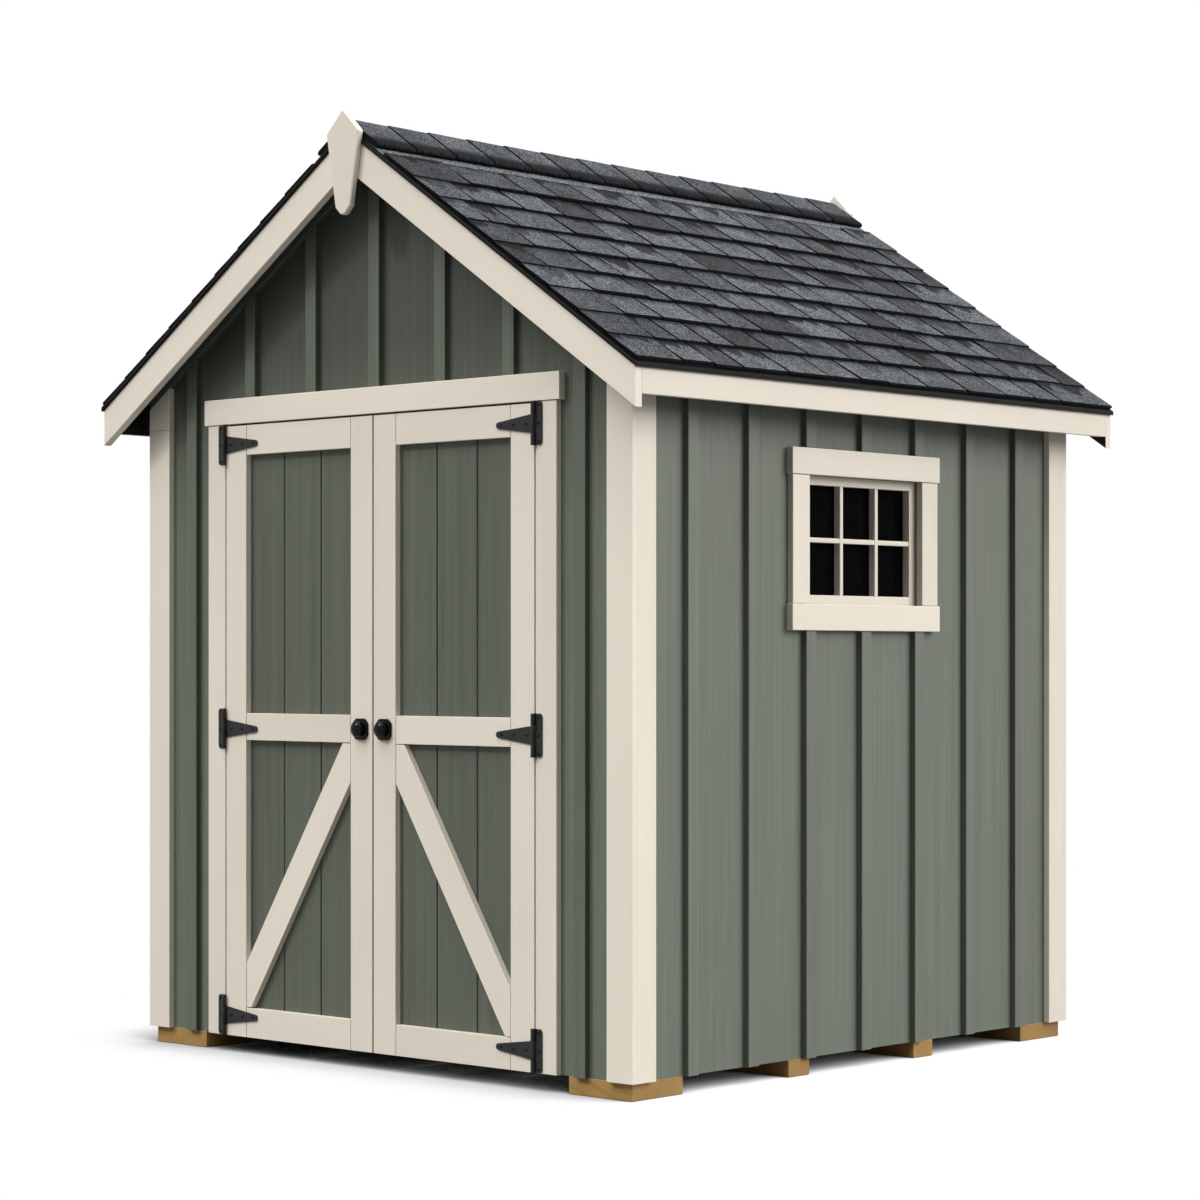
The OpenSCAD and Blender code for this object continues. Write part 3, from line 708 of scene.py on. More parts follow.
class Joinery:
    """Collects bevelled boards into one mesh with grain, tone and edge data."""

    def __init__(self, name: str, seed: int) -> None:
        """Start an empty set of boards.

        Args:
            name: Name of the piece.
            seed: Seed of its random draws.
        """
        self.name = name
        self.draw = random.Random(seed)
        self.points: list[Sequence[float]] = []
        self.faces: list[list[int]] = []
        self.grain: list[Vector] = []
        self.shadow: list[float] = []
        self.marks: dict[str, list[float]] = {"tone": [], "edge": [], "dim": [], "band": []}

    def add_face(self, corners: Iterable[int], **marks: float) -> None:
        """Add one face, with zero for each mark that is not given."""
        self.faces.append(list(corners))
        for name, values in self.marks.items():
            values.append(marks.get(name, 0.0))

    def board(
        self, lay: Lay, outline: Sequence[Point], low: float, high: float,
        grain: float = 0.0, edge: float = 1.4, spread: float = 0.04, dim: Dim = Dim.EDGES, rounds: int = 2,
    ) -> None:
        """Add one board with rounded edges.

        Args:
            lay: Axes of the outline and of the thickness.
            outline: Corners of the board, in millimetres.
            low: Lower level of the thickness.
            high: Upper level of the thickness.
            grain: Angle of the grain in the outline, in degrees.
            edge: Width of the edge rounding.
            spread: Spread of the board's own tone.
            dim: Faces that lie in shade.
            rounds: Steps of the edge rounding.
        """
        first, second, through = lay.value
        shell = bmesh.new()
        rings = []
        for level in (low, high):
            ring = []
            for along, up in outline:
                spot = Vector()
                spot[first], spot[second], spot[through] = along * MM, up * MM, level * MM
                ring.append(shell.verts.new(spot))
            rings.append(ring)
            shell.faces.new(ring)
        for k in range(len(outline)):
            turn = (k + 1) % len(outline)
            shell.faces.new((rings[0][k], rings[0][turn], rings[1][turn], rings[1][k]))
        bmesh.ops.recalc_face_normals(shell, faces=shell.faces[:])
        rounded = set(bmesh.ops.bevel(
            shell, geom=shell.edges[:], offset=edge * MM, offset_type="OFFSET", segments=rounds,
            profile=0.5, affect="EDGES", clamp_overlap=True,
        )["faces"])
        shell.verts.index_update()
        cos, sin = math.cos(math.radians(grain)), math.sin(math.radians(grain))
        shift = Vector([self.draw.uniform(-far, far) for far in GRAIN_SHIFT])
        tone = 1.0 + self.draw.uniform(-spread, spread)
        start = len(self.points)
        for vert in shell.verts:
            one, two = vert.co[first], vert.co[second]
            self.points.append(tuple(vert.co))
            self.shadow.append(0.0)
            self.grain.append(shift + Vector((one * cos + two * sin, two * cos - one * sin, vert.co[through])))
        inward = -1.0 if low + high > 0.0 else 1.0
        for face in shell.faces:
            facing = face.normal[through] * inward
            is_edge = face in rounded
            is_dim = facing > 0.5 if dim is Dim.BACK else abs(facing) < 0.5 and not is_edge
            corners = (start + vert.index for vert in face.verts)
            self.add_face(corners, tone=tone, edge=float(is_edge), dim=float(is_dim))
        shell.free()

    def bar(
        self, lay: Lay, span: Sequence[float], rise: Sequence[float], low: float, high: float, **looks: object
    ) -> None:
        """Add a plain rectangular board.

        Args:
            lay: Axes of the outline and of the thickness.
            span: Ends along the first axis.
            rise: Ends along the second axis.
            low: Lower level of the thickness.
            high: Upper level of the thickness.
            looks: Grain, edge, spread and shade, as for a board.
        """
        corners = [(span[0], rise[0]), (span[1], rise[0]), (span[1], rise[1]), (span[0], rise[1])]
        self.board(lay, corners, low, high, **looks)

    def patch(
        self, points: Iterable[Vector], faces: Iterable[Face], grain: Iterable[Vector],
        tone: float, edges: Iterable[float], band: float = 0.0, shadow: Sequence[float] = (),
    ) -> None:
        """Add a ready closed shape.

        Args:
            points: Its corners in metres.
            faces: Its faces as corner numbers.
            grain: Texture position of each corner.
            tone: Tone of the whole shape.
            edges: One for each face that is a cut edge, otherwise zero.
            band: Strength of the dark patches of the shape.
            shadow: Darkness of each corner, or none.
        """
        start = len(self.points)
        self.points.extend(tuple(point) for point in points)
        self.grain.extend(grain)
        self.shadow.extend(shadow or [0.0] * (len(self.points) - start))
        for face, edge in zip(faces, edges):
            self.add_face((start + k for k in face), tone=tone, edge=edge, band=band)

    def turned(self, profile: Sequence[Point], centre: Vector, sides: int) -> None:
        """Add a shape turned about an axis that points out of the front.

        Args:
            profile: Radius and height pairs from the foot to the crown, the last on the axis.
            centre: Foot of the axis, in millimetres.
            sides: Number of sides.
        """
        points = []
        for radius, out in profile[:-1]:
            for k in range(sides):
                angle = 2 * math.pi * k / sides
                rim = Vector((radius * math.cos(angle), -out, radius * math.sin(angle)))
                points.append((centre + rim) * MM)
        last = len(points) - sides
        points.append((centre + Vector((0.0, -profile[-1][1], 0.0))) * MM)
        faces = hoops(len(profile) - 1, sides)
        faces += [(last + k, last + (k + 1) % sides, last + sides) for k in range(sides)]
        faces.append(tuple(reversed(range(sides))))
        self.patch(points, faces, points, 1.0, [0.0] * len(faces))

    def build(self, finish: Finish, sharp_deg: float | None = None) -> bpy.types.Object:
        """Make the mesh object.

        Args:
            finish: Finish of all boards.
            sharp_deg: Angle above which edges stay sharp, or none for flat faces.

        Returns:
            The new object, linked to the scene.
        """
        mesh = bpy.data.meshes.new(self.name)
        mesh.from_pydata(self.points, [], self.faces)
        spots = mesh.attributes.new("grain", "FLOAT_VECTOR", "POINT")
        spots.data.foreach_set("vector", [value for spot in self.grain for value in spot])
        mesh.attributes.new("shadow", "FLOAT", "POINT").data.foreach_set("value", self.shadow)
        for name, values in self.marks.items():
            mesh.attributes.new(name, "FLOAT", "FACE").data.foreach_set("value", values)
        mesh.materials.append(finish.material())
        if sharp_deg is not None:
            mesh.polygons.foreach_set("use_smooth", [True] * len(mesh.polygons))
            mesh.set_sharp_from_angle(angle=math.radians(sharp_deg))
        mesh.update()
        piece = bpy.data.objects.new(self.name, mesh)
        bpy.context.scene.collection.objects.link(piece)
        return piece


class SubAssembly:
    """Shared calls of the shed's sub-assemblies."""

    def build(self) -> None:
        """Make the new pieces, where there are any."""

    def dress(self) -> None:
        """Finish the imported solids, where there are any."""

    def fit(
        self, boards: Joinery, finish: Finish, slot: str, *nodes: str,
        body: str = BUILDING, sharp_deg: float | None = None,
    ) -> None:
        """Make a piece and put it on its body, in place of its solids.

        Args:
            boards: Boards of the piece.
            finish: Their finish.
            slot: Material slot of the record; not used.
            nodes: Solids that the piece stands for.
            body: Body that it moves with.
            sharp_deg: Angle above which edges stay sharp, or none for flat faces.
        """
        piece = boards.build(finish, sharp_deg)
        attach(piece, body)
        if nodes:
            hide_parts(*nodes)
        LOG.info("%s on %s, %d faces", piece.name, body, len(piece.data.polygons))

    def coat(self, finish: Finish, *nodes: str, bevel: float = 0.0) -> None:
        """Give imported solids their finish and, where asked, rounded edges.

        Args:
            finish: Their finish.
            nodes: Names of the solids.
            bevel: Width of the edge rounding in millimetres, or none.
        """
        for node in nodes:
            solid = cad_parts[node]
            if not solid.material_slots:
                solid.data.materials.append(finish.material())
            for place in solid.material_slots:
                place.material = finish.material()
            if bevel:
                weld = solid.modifiers.new("weld", "WELD")
                weld.merge_threshold = WELD_GAP * MM
                rounding = solid.modifiers.new("rounding", "BEVEL")
                rounding.width = bevel * MM
                rounding.segments = ROUND_STEPS
                rounding.limit_method = "ANGLE"
                rounding.angle_limit = ROUND_ANGLE
            LOG.info("%s coated with %s", node, finish.name)


@dataclass
class BaseTimbers(SubAssembly):
    """Corner blocks, cross skids and the floor that lies on them."""

    outer_x: float = 982.0
    outer_y: float = 994.0
    rise: Point = (0.0, 48.0)
    block_w: float = 230.0
    block_d: float = 205.0
    skid_w: float = 93.0
    skid_y: float = 291.0
    edge: float = 1.3
    spread: float = 0.08
    floor_x: float = 962.0
    floor_y: float = 974.0
    floor_z: Point = (137.0, 155.0)
    planks: int = 14
    plank_gap: float = 1.6
    plank_edge: float = 1.2
    plank_spread: float = 0.1

    def build(self) -> None:
        """Make the blocks, skids and floor planks."""
        blocks, skids = Joinery("corner_block_timbers", 11), Joinery("cross_skid_timbers", 12)
        for side in Side:
            span = side.span(self.outer_x, self.outer_x - self.block_w)
            for end in End:
                deep = end.span(self.outer_y, self.outer_y - self.block_d)
                blocks.bar(Lay.XZ, span, self.rise, *deep, edge=self.edge, spread=self.spread)
        for end in End:
            deep = around(end.value * self.skid_y, self.skid_w)
            span = (-self.outer_x, self.outer_x)
            skids.bar(Lay.XZ, span, self.rise, *deep, edge=self.edge, spread=self.spread)
        self.fit(blocks, FINISH.base, "base_timber", "corner_blocks")
        self.fit(skids, FINISH.base, "base_timber", "cross_skids")
        floor = Joinery("floor_planks", 13)
        pitch = 2 * self.floor_y / self.planks
        for k in range(self.planks):
            start = -self.floor_y + k * pitch
            floor.bar(
                Lay.XY, (-self.floor_x, self.floor_x), (start, start + pitch - self.plank_gap),
                *self.floor_z, edge=self.plank_edge, spread=self.plank_spread,
            )
        self.fit(floor, FINISH.floor, "sheet_boards", "floor_deck")

    def dress(self) -> None:
        """Give the joists and rims their wood finish."""
        self.coat(FINISH.frame_x, "floor_rims")
        self.coat(FINISH.frame_y, "floor_joists")


@dataclass
class TimberFrame(SubAssembly):
    """Studs, plates, rafters and roof boards seen from inside."""

    along_x: tuple[str, ...] = ("end_plates", "rafters")
    along_y: tuple[str, ...] = (
        "side_plates", "window_bucks", "ridge_board", "eave_blocks", "roof_deck_left", "roof_deck_right",
    )
    upright: tuple[str, ...] = ("side_studs", "end_studs")

    def dress(self) -> None:
        """Give each set of timbers wood with the grain along it."""
        self.coat(FINISH.frame_x, *self.along_x)
        self.coat(FINISH.frame_y, *self.along_y)
        self.coat(FINISH.frame_z, *self.upright)


@dataclass
class Walls(SubAssembly):
    """Wall boards, battens and the boards along the rakes."""

    clad_x: float = 980.0
    clad_y: float = 992.0
    base_z: float = 48.0
    side_top: float = 1883.0
    batten_w: float = 44.0
    batten_t: float = 18.0
    end_pitch: float = 268.0
    side_pitch: float = 254.0
    reach: int = 3
    spread: float = 0.06
    over_head: float = 1954.0
    head_edge: float = 736.0
    window_edge: float = 345.0
    window_z: Point = (1256.0, 1771.0)
    half_w: float = 1000.0
    gap: float = 1.0
    deck_gap: float = 0.1
    end_sheets: tuple[str, ...] = ("front_wall_left", "front_wall_right", "front_gable", "rear_wall")
    side_sheets: tuple[str, ...] = ("left_wall", "right_wall")

    def build(self) -> None:
        """Make the battens of all walls and the rake boards."""
        ends, sides = Joinery("gable_batten_strips", 21), Joinery("side_batten_strips", 22)
        for k in range(-self.reach, self.reach + 1):
            self.gable_battens(ends, k * self.end_pitch)
        for side in Side:
            for k in range(-self.reach, self.reach + 1):
                self.side_battens(sides, side, k * self.side_pitch)
        self.fit(ends, FINISH.front_boards, "green_boards", "end_battens")
        self.fit(sides, FINISH.side_boards, "green_boards", "side_battens")
        rakes = Joinery("rake_frieze_boards", 23)
        under = ROOF.deck_t / ROOF.level + self.deck_gap
        for side in Side:
            outline = ROOF.rake(side.value * self.gap / 2, side.value * self.half_w, ROOF.frieze_h, under)
            for end in End:
                levels = end.span(self.clad_y, self.clad_y + self.batten_t)
                rakes.board(Lay.XZ, outline, *levels, grain=-side.value * math.degrees(ROOF.pitch))
        self.fit(rakes, FINISH.front_boards, "green_boards", "rake_friezes")

    def gable_battens(self, ends: Joinery, x: float) -> None:
        """Add the front and the rear batten at one place.

        Args:
            ends: Battens of both gables.
            x: Middle of the battens.
        """
        left, right = around(x, self.batten_w)
        peak = [(0.0, ROOF.frieze_z(0.0) - self.gap)] if x == 0.0 else []
        over_doors = abs(x) - self.batten_w / 2 <= self.head_edge
        for end in End:
            foot = self.over_head if end is End.FRONT and over_doors else self.base_z
            outline = [
                (left, foot), (right, foot), (right, ROOF.frieze_z(right) - self.gap), *peak,
                (left, ROOF.frieze_z(left) - self.gap),
            ]
            levels = end.span(self.clad_y, self.clad_y + self.batten_t)
            ends.board(Lay.XZ, outline, *levels, grain=UPRIGHT, spread=self.spread)

    def side_battens(self, sides: Joinery, side: Side, y: float) -> None:
        """Add one side batten, in two lengths where the window is in its way.

        Args:
            sides: Battens of both side walls.
            side: Side wall.
            y: Middle of the batten.
        """
        rises = [(self.base_z, self.side_top)]
        if side is Side.RIGHT and abs(y) - self.batten_w / 2 < self.window_edge:
            rises = [(self.base_z, self.window_z[0]), (self.window_z[1], self.side_top)]
        depth = side.span(self.clad_x, self.clad_x + self.batten_t)
        for rise in rises:
            sides.bar(Lay.YZ, around(y, self.batten_w), rise, *depth, grain=UPRIGHT, spread=self.spread)

    def dress(self) -> None:
        """Paint the wall sheets."""
        self.coat(FINISH.front_wall, *self.end_sheets)
        self.coat(FINISH.side_wall, *self.side_sheets)


@dataclass
class Trim(SubAssembly):
    """Corner boards, door casings, barge boards, fascias and finials."""

    half_w: float = 1000.0
    half_d: float = 1012.0
    trim_t: float = 20.0
    corner_w: float = 94.0
    end_edge: float = 1.1
    side_edge: float = 0.6
    base_z: float = 48.0
    joint_z: float = 1876.0
    side_top: float = 1883.0
    frieze_gap: float = 1.0
    door_x: float = 645.0
    casing_x: float = 722.0
    head_x: float = 736.0
    head_z: Point = (1878.0, 1954.0)
    head_proud: float = 4.0
    barge_y: Point = (1084.0, 1111.0)
    barge_h: float = 109.0
    barge_edge: float = 2.2
    ridge_gap: float = 0.5
    fascia_x: Point = (1078.0, 1098.0)
    fascia_z: Point = (1868.0, 1940.0)
    finial_t: float = 20.0
    finial_top: float = 2736.0
    finial_w: float = 136.0
    finial_foot: float = 62.0
    finial_len: float = 301.0
    finial_clip: float = 22.0
    finial_edge: float = 3.5
    seam: float = 1.2

    def build(self) -> None:
        """Make all painted trim boards."""
        self.build_corners()
        self.build_casing()
        self.build_eaves()
        self.build_finials()

    def build_corners(self) -> None:
        """Make the boards on both faces of each corner."""
        ends, sides = Joinery("end_corner_planks", 31), Joinery("side_corner_planks", 32)
        for side in Side:
            inner, outer = side.value * (self.half_w - self.corner_w), side.value * self.half_w
            depth = side.span(self.half_w - self.trim_t, self.half_w)
            for end in End:
                levels = end.span(self.half_d - self.trim_t, self.half_d)
                foot = self.base_z
                if side is Side.LEFT and end is End.FRONT:
                    low, foot = around(self.joint_z, self.seam)
                    span = side.span(self.half_w - self.corner_w, self.half_w)
                    ends.bar(Lay.XZ, span, (self.base_z, low), *levels, grain=UPRIGHT, edge=self.end_edge)
                outline = [
                    (inner, foot), (outer, foot), (outer, ROOF.frieze_z(outer) - self.frieze_gap),
                    (inner, ROOF.frieze_z(inner) - self.frieze_gap),
                ]
                ends.board(Lay.XZ, outline, *levels, grain=UPRIGHT, edge=self.end_edge)
                span = end.span(self.half_d - self.corner_w, self.half_d - self.trim_t)
                rise = (self.base_z, self.side_top)
                sides.bar(Lay.YZ, span, rise, *depth, grain=UPRIGHT, edge=self.side_edge)
        self.fit(ends, FINISH.trim, "cream_trim", "end_corner_boards")
        self.fit(sides, FINISH.trim, "cream_trim", "side_corner_boards")

    def build_casing(self) -> None:
        """Make the boards round the doorway."""
        jambs, head = Joinery("door_casing_boards", 33), Joinery("head_casing_board", 34)
        back = -self.half_d + self.trim_t
        rise = (self.base_z, self.head_z[0] - self.seam)
        for side in Side:
            jambs.bar(
                Lay.XZ, side.span(self.door_x, self.casing_x), rise, -self.half_d, back, grain=UPRIGHT
            )
        head.bar(Lay.XZ, (-self.head_x, self.head_x), self.head_z, -self.half_d - self.head_proud, back)
        self.fit(jambs, FINISH.trim, "cream_trim", "door_casing")
        self.fit(head, FINISH.trim, "cream_trim", "head_casing")

    def build_eaves(self) -> None:
        """Make the barge boards and fascias along the edges of the roof."""
        slope = math.degrees(ROOF.pitch)
        for end, seed in zip(End, (35, 36)):
            word = end.name.lower()
            barge = Joinery(f"{word}_barge_boards", seed)
            for side in Side:
                outline = ROOF.rake(side.value * self.ridge_gap, side.value * ROOF.run, 0.0, self.barge_h)
                barge.board(
                    Lay.XZ, outline, *end.span(*self.barge_y),
                    grain=-side.value * slope, edge=self.barge_edge, dim=Dim.BACK,
                )
            self.fit(barge, FINISH.eave_trim, "cream_trim", f"{word}_barge")
        fascia = Joinery("eave_fascia_boards", 37)
        span = (-self.barge_y[0], self.barge_y[0])
        for side in Side:
            fascia.bar(Lay.YZ, span, self.fascia_z, *side.span(*self.fascia_x), dim=Dim.BACK)
        self.fit(fascia, FINISH.eave_trim, "cream_trim", "eave_fascias")

    def build_finials(self) -> None:
        """Make the kite-shaped boards at both ends of the ridge."""
        finials = Joinery("finial_boards", 38)
        foot = self.finial_top - self.finial_len
        wide, narrow = self.finial_w / 2, self.finial_foot / 2
        half = [
            (wide, self.finial_top - wide), (narrow, foot + self.finial_clip),
            (narrow - self.finial_clip, foot),
        ]
        outline = [(0.0, self.finial_top), *half, *[(-x, z) for x, z in reversed(half)]]
        for end in End:
            levels = end.span(self.barge_y[1], self.barge_y[1] + self.finial_t)
            finials.board(Lay.XZ, outline, *levels, grain=UPRIGHT, edge=self.finial_edge, rounds=1)
        self.fit(finials, FINISH.trim, "cream_trim", "finials")


@dataclass
class SideWindow(SubAssembly):
    """Casing, sash, glazing bars and glass of the window."""

    face_x: float = 980.0
    casing_t: float = 20.0
    casing_edge: float = 1.8
    head_proud: float = 4.0
    half: float = 264.0
    trim_w: float = 75.0
    reach: float = 6.0
    low: float = 1331.0
    high: float = 1696.0
    sash_x: Point = (947.0, 971.0)
    sash_w: float = 26.0
    bar_w: float = 14.0
    bar_edge: float = 2.2
    rail_back: float = 0.4
    bar_backs: Point = (1.0, 1.4)
    seam: float = 1.0

    def build(self) -> None:
        """Make the casing boards and the barred sash."""
        self.build_casing()
        self.build_sash()

    def build_casing(self) -> None:
        """Make the boards round the window."""
        casing = Joinery("window_casing_boards", 41)
        out = self.half + self.trim_w + self.reach
        face = self.face_x + self.casing_t
        for foot in (self.low - self.trim_w, self.high):
            rise = (foot, foot + self.trim_w)
            casing.bar(Lay.YZ, (-out, out), rise, self.face_x, face + self.head_proud, edge=self.casing_edge)
        rise = (self.low + self.seam, self.high - self.seam)
        for end in End:
            span = end.span(self.half, self.half + self.trim_w)
            casing.bar(Lay.YZ, span, rise, self.face_x, face, grain=UPRIGHT, edge=self.casing_edge)
        self.fit(casing, FINISH.window_trim, "cream_trim", "window_casing")

    def build_sash(self) -> None:
        """Make the stiles, rails and glazing bars."""
        sash = Joinery("window_sash_bars", 42)
        inner = self.half - self.sash_w
        back, face = self.sash_x
        inside = (self.low + self.sash_w, self.high - self.sash_w)
        for end in End:
            sash.bar(Lay.YZ, end.span(inner, self.half), (self.low, self.high), back, face, grain=UPRIGHT)
        for rise in ((self.low, inside[0]), (inside[1], self.high)):
            sash.bar(Lay.YZ, (-inner, inner), rise, back, face - self.rail_back)
        pane = (2 * inner - 2 * self.bar_w) / 3
        for end in End:
            span = around(end.value * (pane + self.bar_w) / 2, self.bar_w)
            front = face - self.bar_backs[0]
            sash.bar(Lay.YZ, span, inside, back, front, grain=UPRIGHT, edge=self.bar_edge)
        rise = around((self.low + self.high) / 2, self.bar_w)
        for start in (-inner, -pane / 2, pane / 2 + self.bar_w):
            front = face - self.bar_backs[1]
            sash.bar(Lay.YZ, (start, start + pane), rise, back, front, edge=self.bar_edge)
        self.fit(sash, FINISH.window_trim, "cream_trim", "window_sash")

    def dress(self) -> None:
        """Glaze the window."""
        self.coat(FINISH.glass, "window_glass")


@dataclass
class RoofCover(SubAssembly):
    """Shingle tabs, ridge cap pieces and the drip edge."""

    half_y: float = 1111.0
    cap_reach: float = 140.0
    course_reach: float = 195.0
    strip_reach: Point = (60.0, 173.0)
    strip_drop: float = 1.2
    strip_gap: float = 6.0
    strip_tone: float = 1.9
    strip_grain: Point = (0.4, 1.5)
    # faces marked one take painted shade
    strip_edges: tuple[float, ...] = (1.0, 1.0, 1.0, 0.9, 0.0, 1.0)
    last_x: float = 1104.0
    last_slack: float = 0.5
    courses: int = 9
    cover: float = 11.04
    low: float = 5.8
    rake_low: float = 9.5
    high: float = 13.0
    tab_rows: int = 5
    tab_margin: float = 4.0
    tab_w: Point = (95.0, 235.0)
    first_w: float = 70.0
    slits: Point = (5.5, 9.5)
    # painted shade along both sides of each tab, widening the dark slits
    slit_shade: float = 0.95
    tab_t: float = 6.0
    tab_thin: float = 0.45
    tab_layer: float = 0.01
    tab_sharp: float = 30.0
    rake_slack: float = 1.0
    tab_raises: tuple[float, ...] = (0.0, 0.8, 1.6, 2.6)
    tab_slip: float = 3.0
    tab_wave: float = 0.9
    tab_rough: float = 0.35
    tab_tones: tuple[tuple[float, Point], ...] = (
        (0.14, (0.4, 0.52)), (0.4, (0.65, 0.82)), (1.0, (0.95, 1.32)),
    )
    tab_bands: tuple[float, ...] = (0.0, 0.6, 1.0, 1.0)
    lap: float = 14.0
    bed_inset: float = 2.0
    # painted shade: the bed is dark, and near black as all its faces are marked edges
    bed_tone: float = 0.3
    bed_drop: float = 0.6
    bed_head: float = 0.3
    undercut: float = 5.0
    cap_base: float = 15.1
    cap_t: float = 16.0
    cap_pieces: int = 14
    cap_lifts: tuple[float, ...] = (1.0, 1.5, 0.6, -0.6)
    cap_nose: float = 2.5
    cap_slit: float = 6.5
    cap_tone: Point = (0.72, 1.12)
    cap_grain: Triple = (0.2, 0.02, 0.3)  # texture start at the ridge, right layer, left layer
    cap_sharp: float = 40.0
    lip_gap: float = 2.0
    # painted shade on the rolled lip, a little lighter at 0.84 as a painted highlight
    lip_shades: tuple[float, ...] = (0.97, 0.97, 0.97, 0.97, 0.84, 0.84, 0.97)
    ridge_r: float = 10.0
    ridge_steps: int = 4
    # painted shade fading up the cap from the lip, by distance from the ridge
    cap_shade_fade: tuple[Point, ...] = ((124.0, 0.93), (112.0, 0.75), (102.0, 0.3), (92.0, 0.0), (48.0, 0.0))
    seeds: Point = (0.0, 40.0)
    drip_bevel: float = 2.5

    def build(self) -> None:
        """Make both slopes and the ridge cap."""
        for side, seed in zip(Side, (51, 52)):
            self.build_slope(side, seed)
        self.build_cap()

    def build_slope(self, side: Side, seed: int) -> None:
        """Make all courses of one slope.

        Args:
            side: Slope.
            seed: Seed of its random draws.
        """
        word = side.name.lower()
        slope = Joinery(f"{word}_shingle_tabs", seed)
        draw = slope.draw
        first = self.course_reach * ROOF.level
        step = (self.last_x - first) / self.courses
        self.strip(slope, side)
        for course in range(self.courses):
            head = first + course * step if course else (self.strip_reach[1] + self.strip_gap) * ROOF.level
            heads = (head, first + (course + 1) * step)
            self.bed(slope, side, heads)
            y = -self.half_y
            width = draw.uniform(self.first_w, self.tab_w[1])
            while y < self.half_y:
                last = y + width + self.tab_w[0] > self.half_y
                far = self.half_y if last else y + width
                slit = 0.0 if last else draw.uniform(*self.slits)
                self.tab(slope, side, heads, (y, far - slit))
                y = far
                width = draw.uniform(*self.tab_w)
        self.fit(slope, FINISH.roofing, "shingle", f"shingles_{word}", sharp_deg=self.tab_sharp)

    def spot(self, side: Side, x: float, y: float, up: float) -> Vector:
        """Point in metres on a slope, from its distance from the ridge along X, depth and height."""
        return Vector((side.value * x, y, ROOF.z(x, self.cover + up))) * MM

    def prism(self, side: Side, section: Sequence[Point], reach: float) -> tuple[list[Vector], list[Face]]:
        """Straight length of cover between the rakes.

        Args:
            side: Slope.
            section: Its four corners, as distance from the ridge along X and height.
            reach: Half of its length.

        Returns:
            Corners in metres, and faces.
        """
        points = [self.spot(side, x, y, up) for y in (-reach, reach) for x, up in section]
        faces = [(0, 1, 2, 3), (7, 6, 5, 4)]
        faces += [(k, k + 4, (k + 1) % 4 + 4, (k + 1) % 4) for k in range(4)]
        if side is Side.LEFT:
            faces = [tuple(reversed(face)) for face in faces]
        return points, faces

    def strip(self, slope: Joinery, side: Side) -> None:
        """Add the pale starter strip that shows below the ridge cap.

        Args:
            slope: Mesh of the slope.
            side: Slope.
        """
        near, far = (reach * ROOF.level for reach in self.strip_reach)
        rise = self.cap_base - self.cover - self.strip_drop
        points, faces = self.prism(side, ((near, 0.0), (far, 0.0), (far, rise), (near, rise)), self.half_y)
        start, factor = self.strip_grain
        grain = [Vector((start + point.z * factor, point.y, 0.0)) for point in points]
        slope.patch(points, faces, grain, self.strip_tone, self.strip_edges)

    def bed(self, slope: Joinery, side: Side, heads: Point) -> None:
        """Add the dark bed under one course, painted near black as the shade that shows in the slits and below
        the butts.

        Args:
            slope: Mesh of the slope.
            side: Slope.
            heads: Head and butt of the course along X.
        """
        head, butt = heads[0] - self.lap, heads[1] - self.undercut
        top = self.high - self.tab_t - self.bed_drop
        section = ((head, 0.0), (butt, 0.0), (butt, top), (head, self.bed_head))
        points, faces = self.prism(side, section, self.half_y - self.bed_inset)
        slope.patch(points, faces, [Vector()] * len(points), self.bed_tone, [1.0] * len(faces))

    def tab(self, slope: Joinery, side: Side, heads: Point, span: Point) -> None:
        """Add one shingle tab.

        Args:
            slope: Mesh of the slope.
            side: Slope.
            heads: Head and butt of its course along X.
            span: Its ends along Y.
        """
        draw = slope.draw
        head, butt = heads
        margin = self.tab_margin / (span[1] - span[0])
        shares = (0.0, margin, 0.25, 0.5, 0.75, 1.0 - margin, 1.0)
        at_rake = max(abs(y) for y in span) > self.half_y - self.rake_slack
        low = self.rake_low if at_rake else self.low
        high = self.high + draw.choice(self.tab_raises) * (not at_rake)
        slip = draw.uniform(-self.tab_slip, self.tab_slip)
        wave = [slip + draw.uniform(-self.tab_wave, self.tab_wave) for _ in shares]
        seed = draw.uniform(*self.seeds)
        chance = draw.random()
        tone = draw.uniform(*next(tones for limit, tones in self.tab_tones if chance < limit))
        band = draw.choice(self.tab_bands)
        start = head if head < self.course_reach * ROOF.level else head - self.lap
        points, grain, shadow = [], [], []
        for layer in (1, 0):
            for i in range(self.tab_rows):
                part = i / (self.tab_rows - 1)
                for share, shift in zip(shares, wave):
                    y = span[0] + (span[1] - span[0]) * share
                    x = start + (min(butt + shift, self.last_x + self.last_slack) - start) * part
                    along = (x - head) / (butt - head)
                    up = low + (high - low) * along
                    rough = draw.uniform(-self.tab_rough, self.tab_rough) if 0.0 < part < 1.0 else 0.0
                    thick = self.tab_t * (self.tab_thin + (1.0 - self.tab_thin) * max(along, 0.0))
                    up += rough if layer else -thick
                    points.append(self.spot(side, x, y, up))
                    # painted shade on the tab's side margins
                    shadow.append(self.slit_shade if share in UNIT else 0.0)
                    grain.append(Vector(((x - head) * MM / ROOF.level, y * MM + seed, layer * self.tab_layer)))
        faces, edges = self.tab_faces(self.tab_rows, len(shares))
        if side is Side.RIGHT:
            faces = [tuple(reversed(face)) for face in faces]
        slope.patch(points, faces, grain, tone, edges, band, shadow)

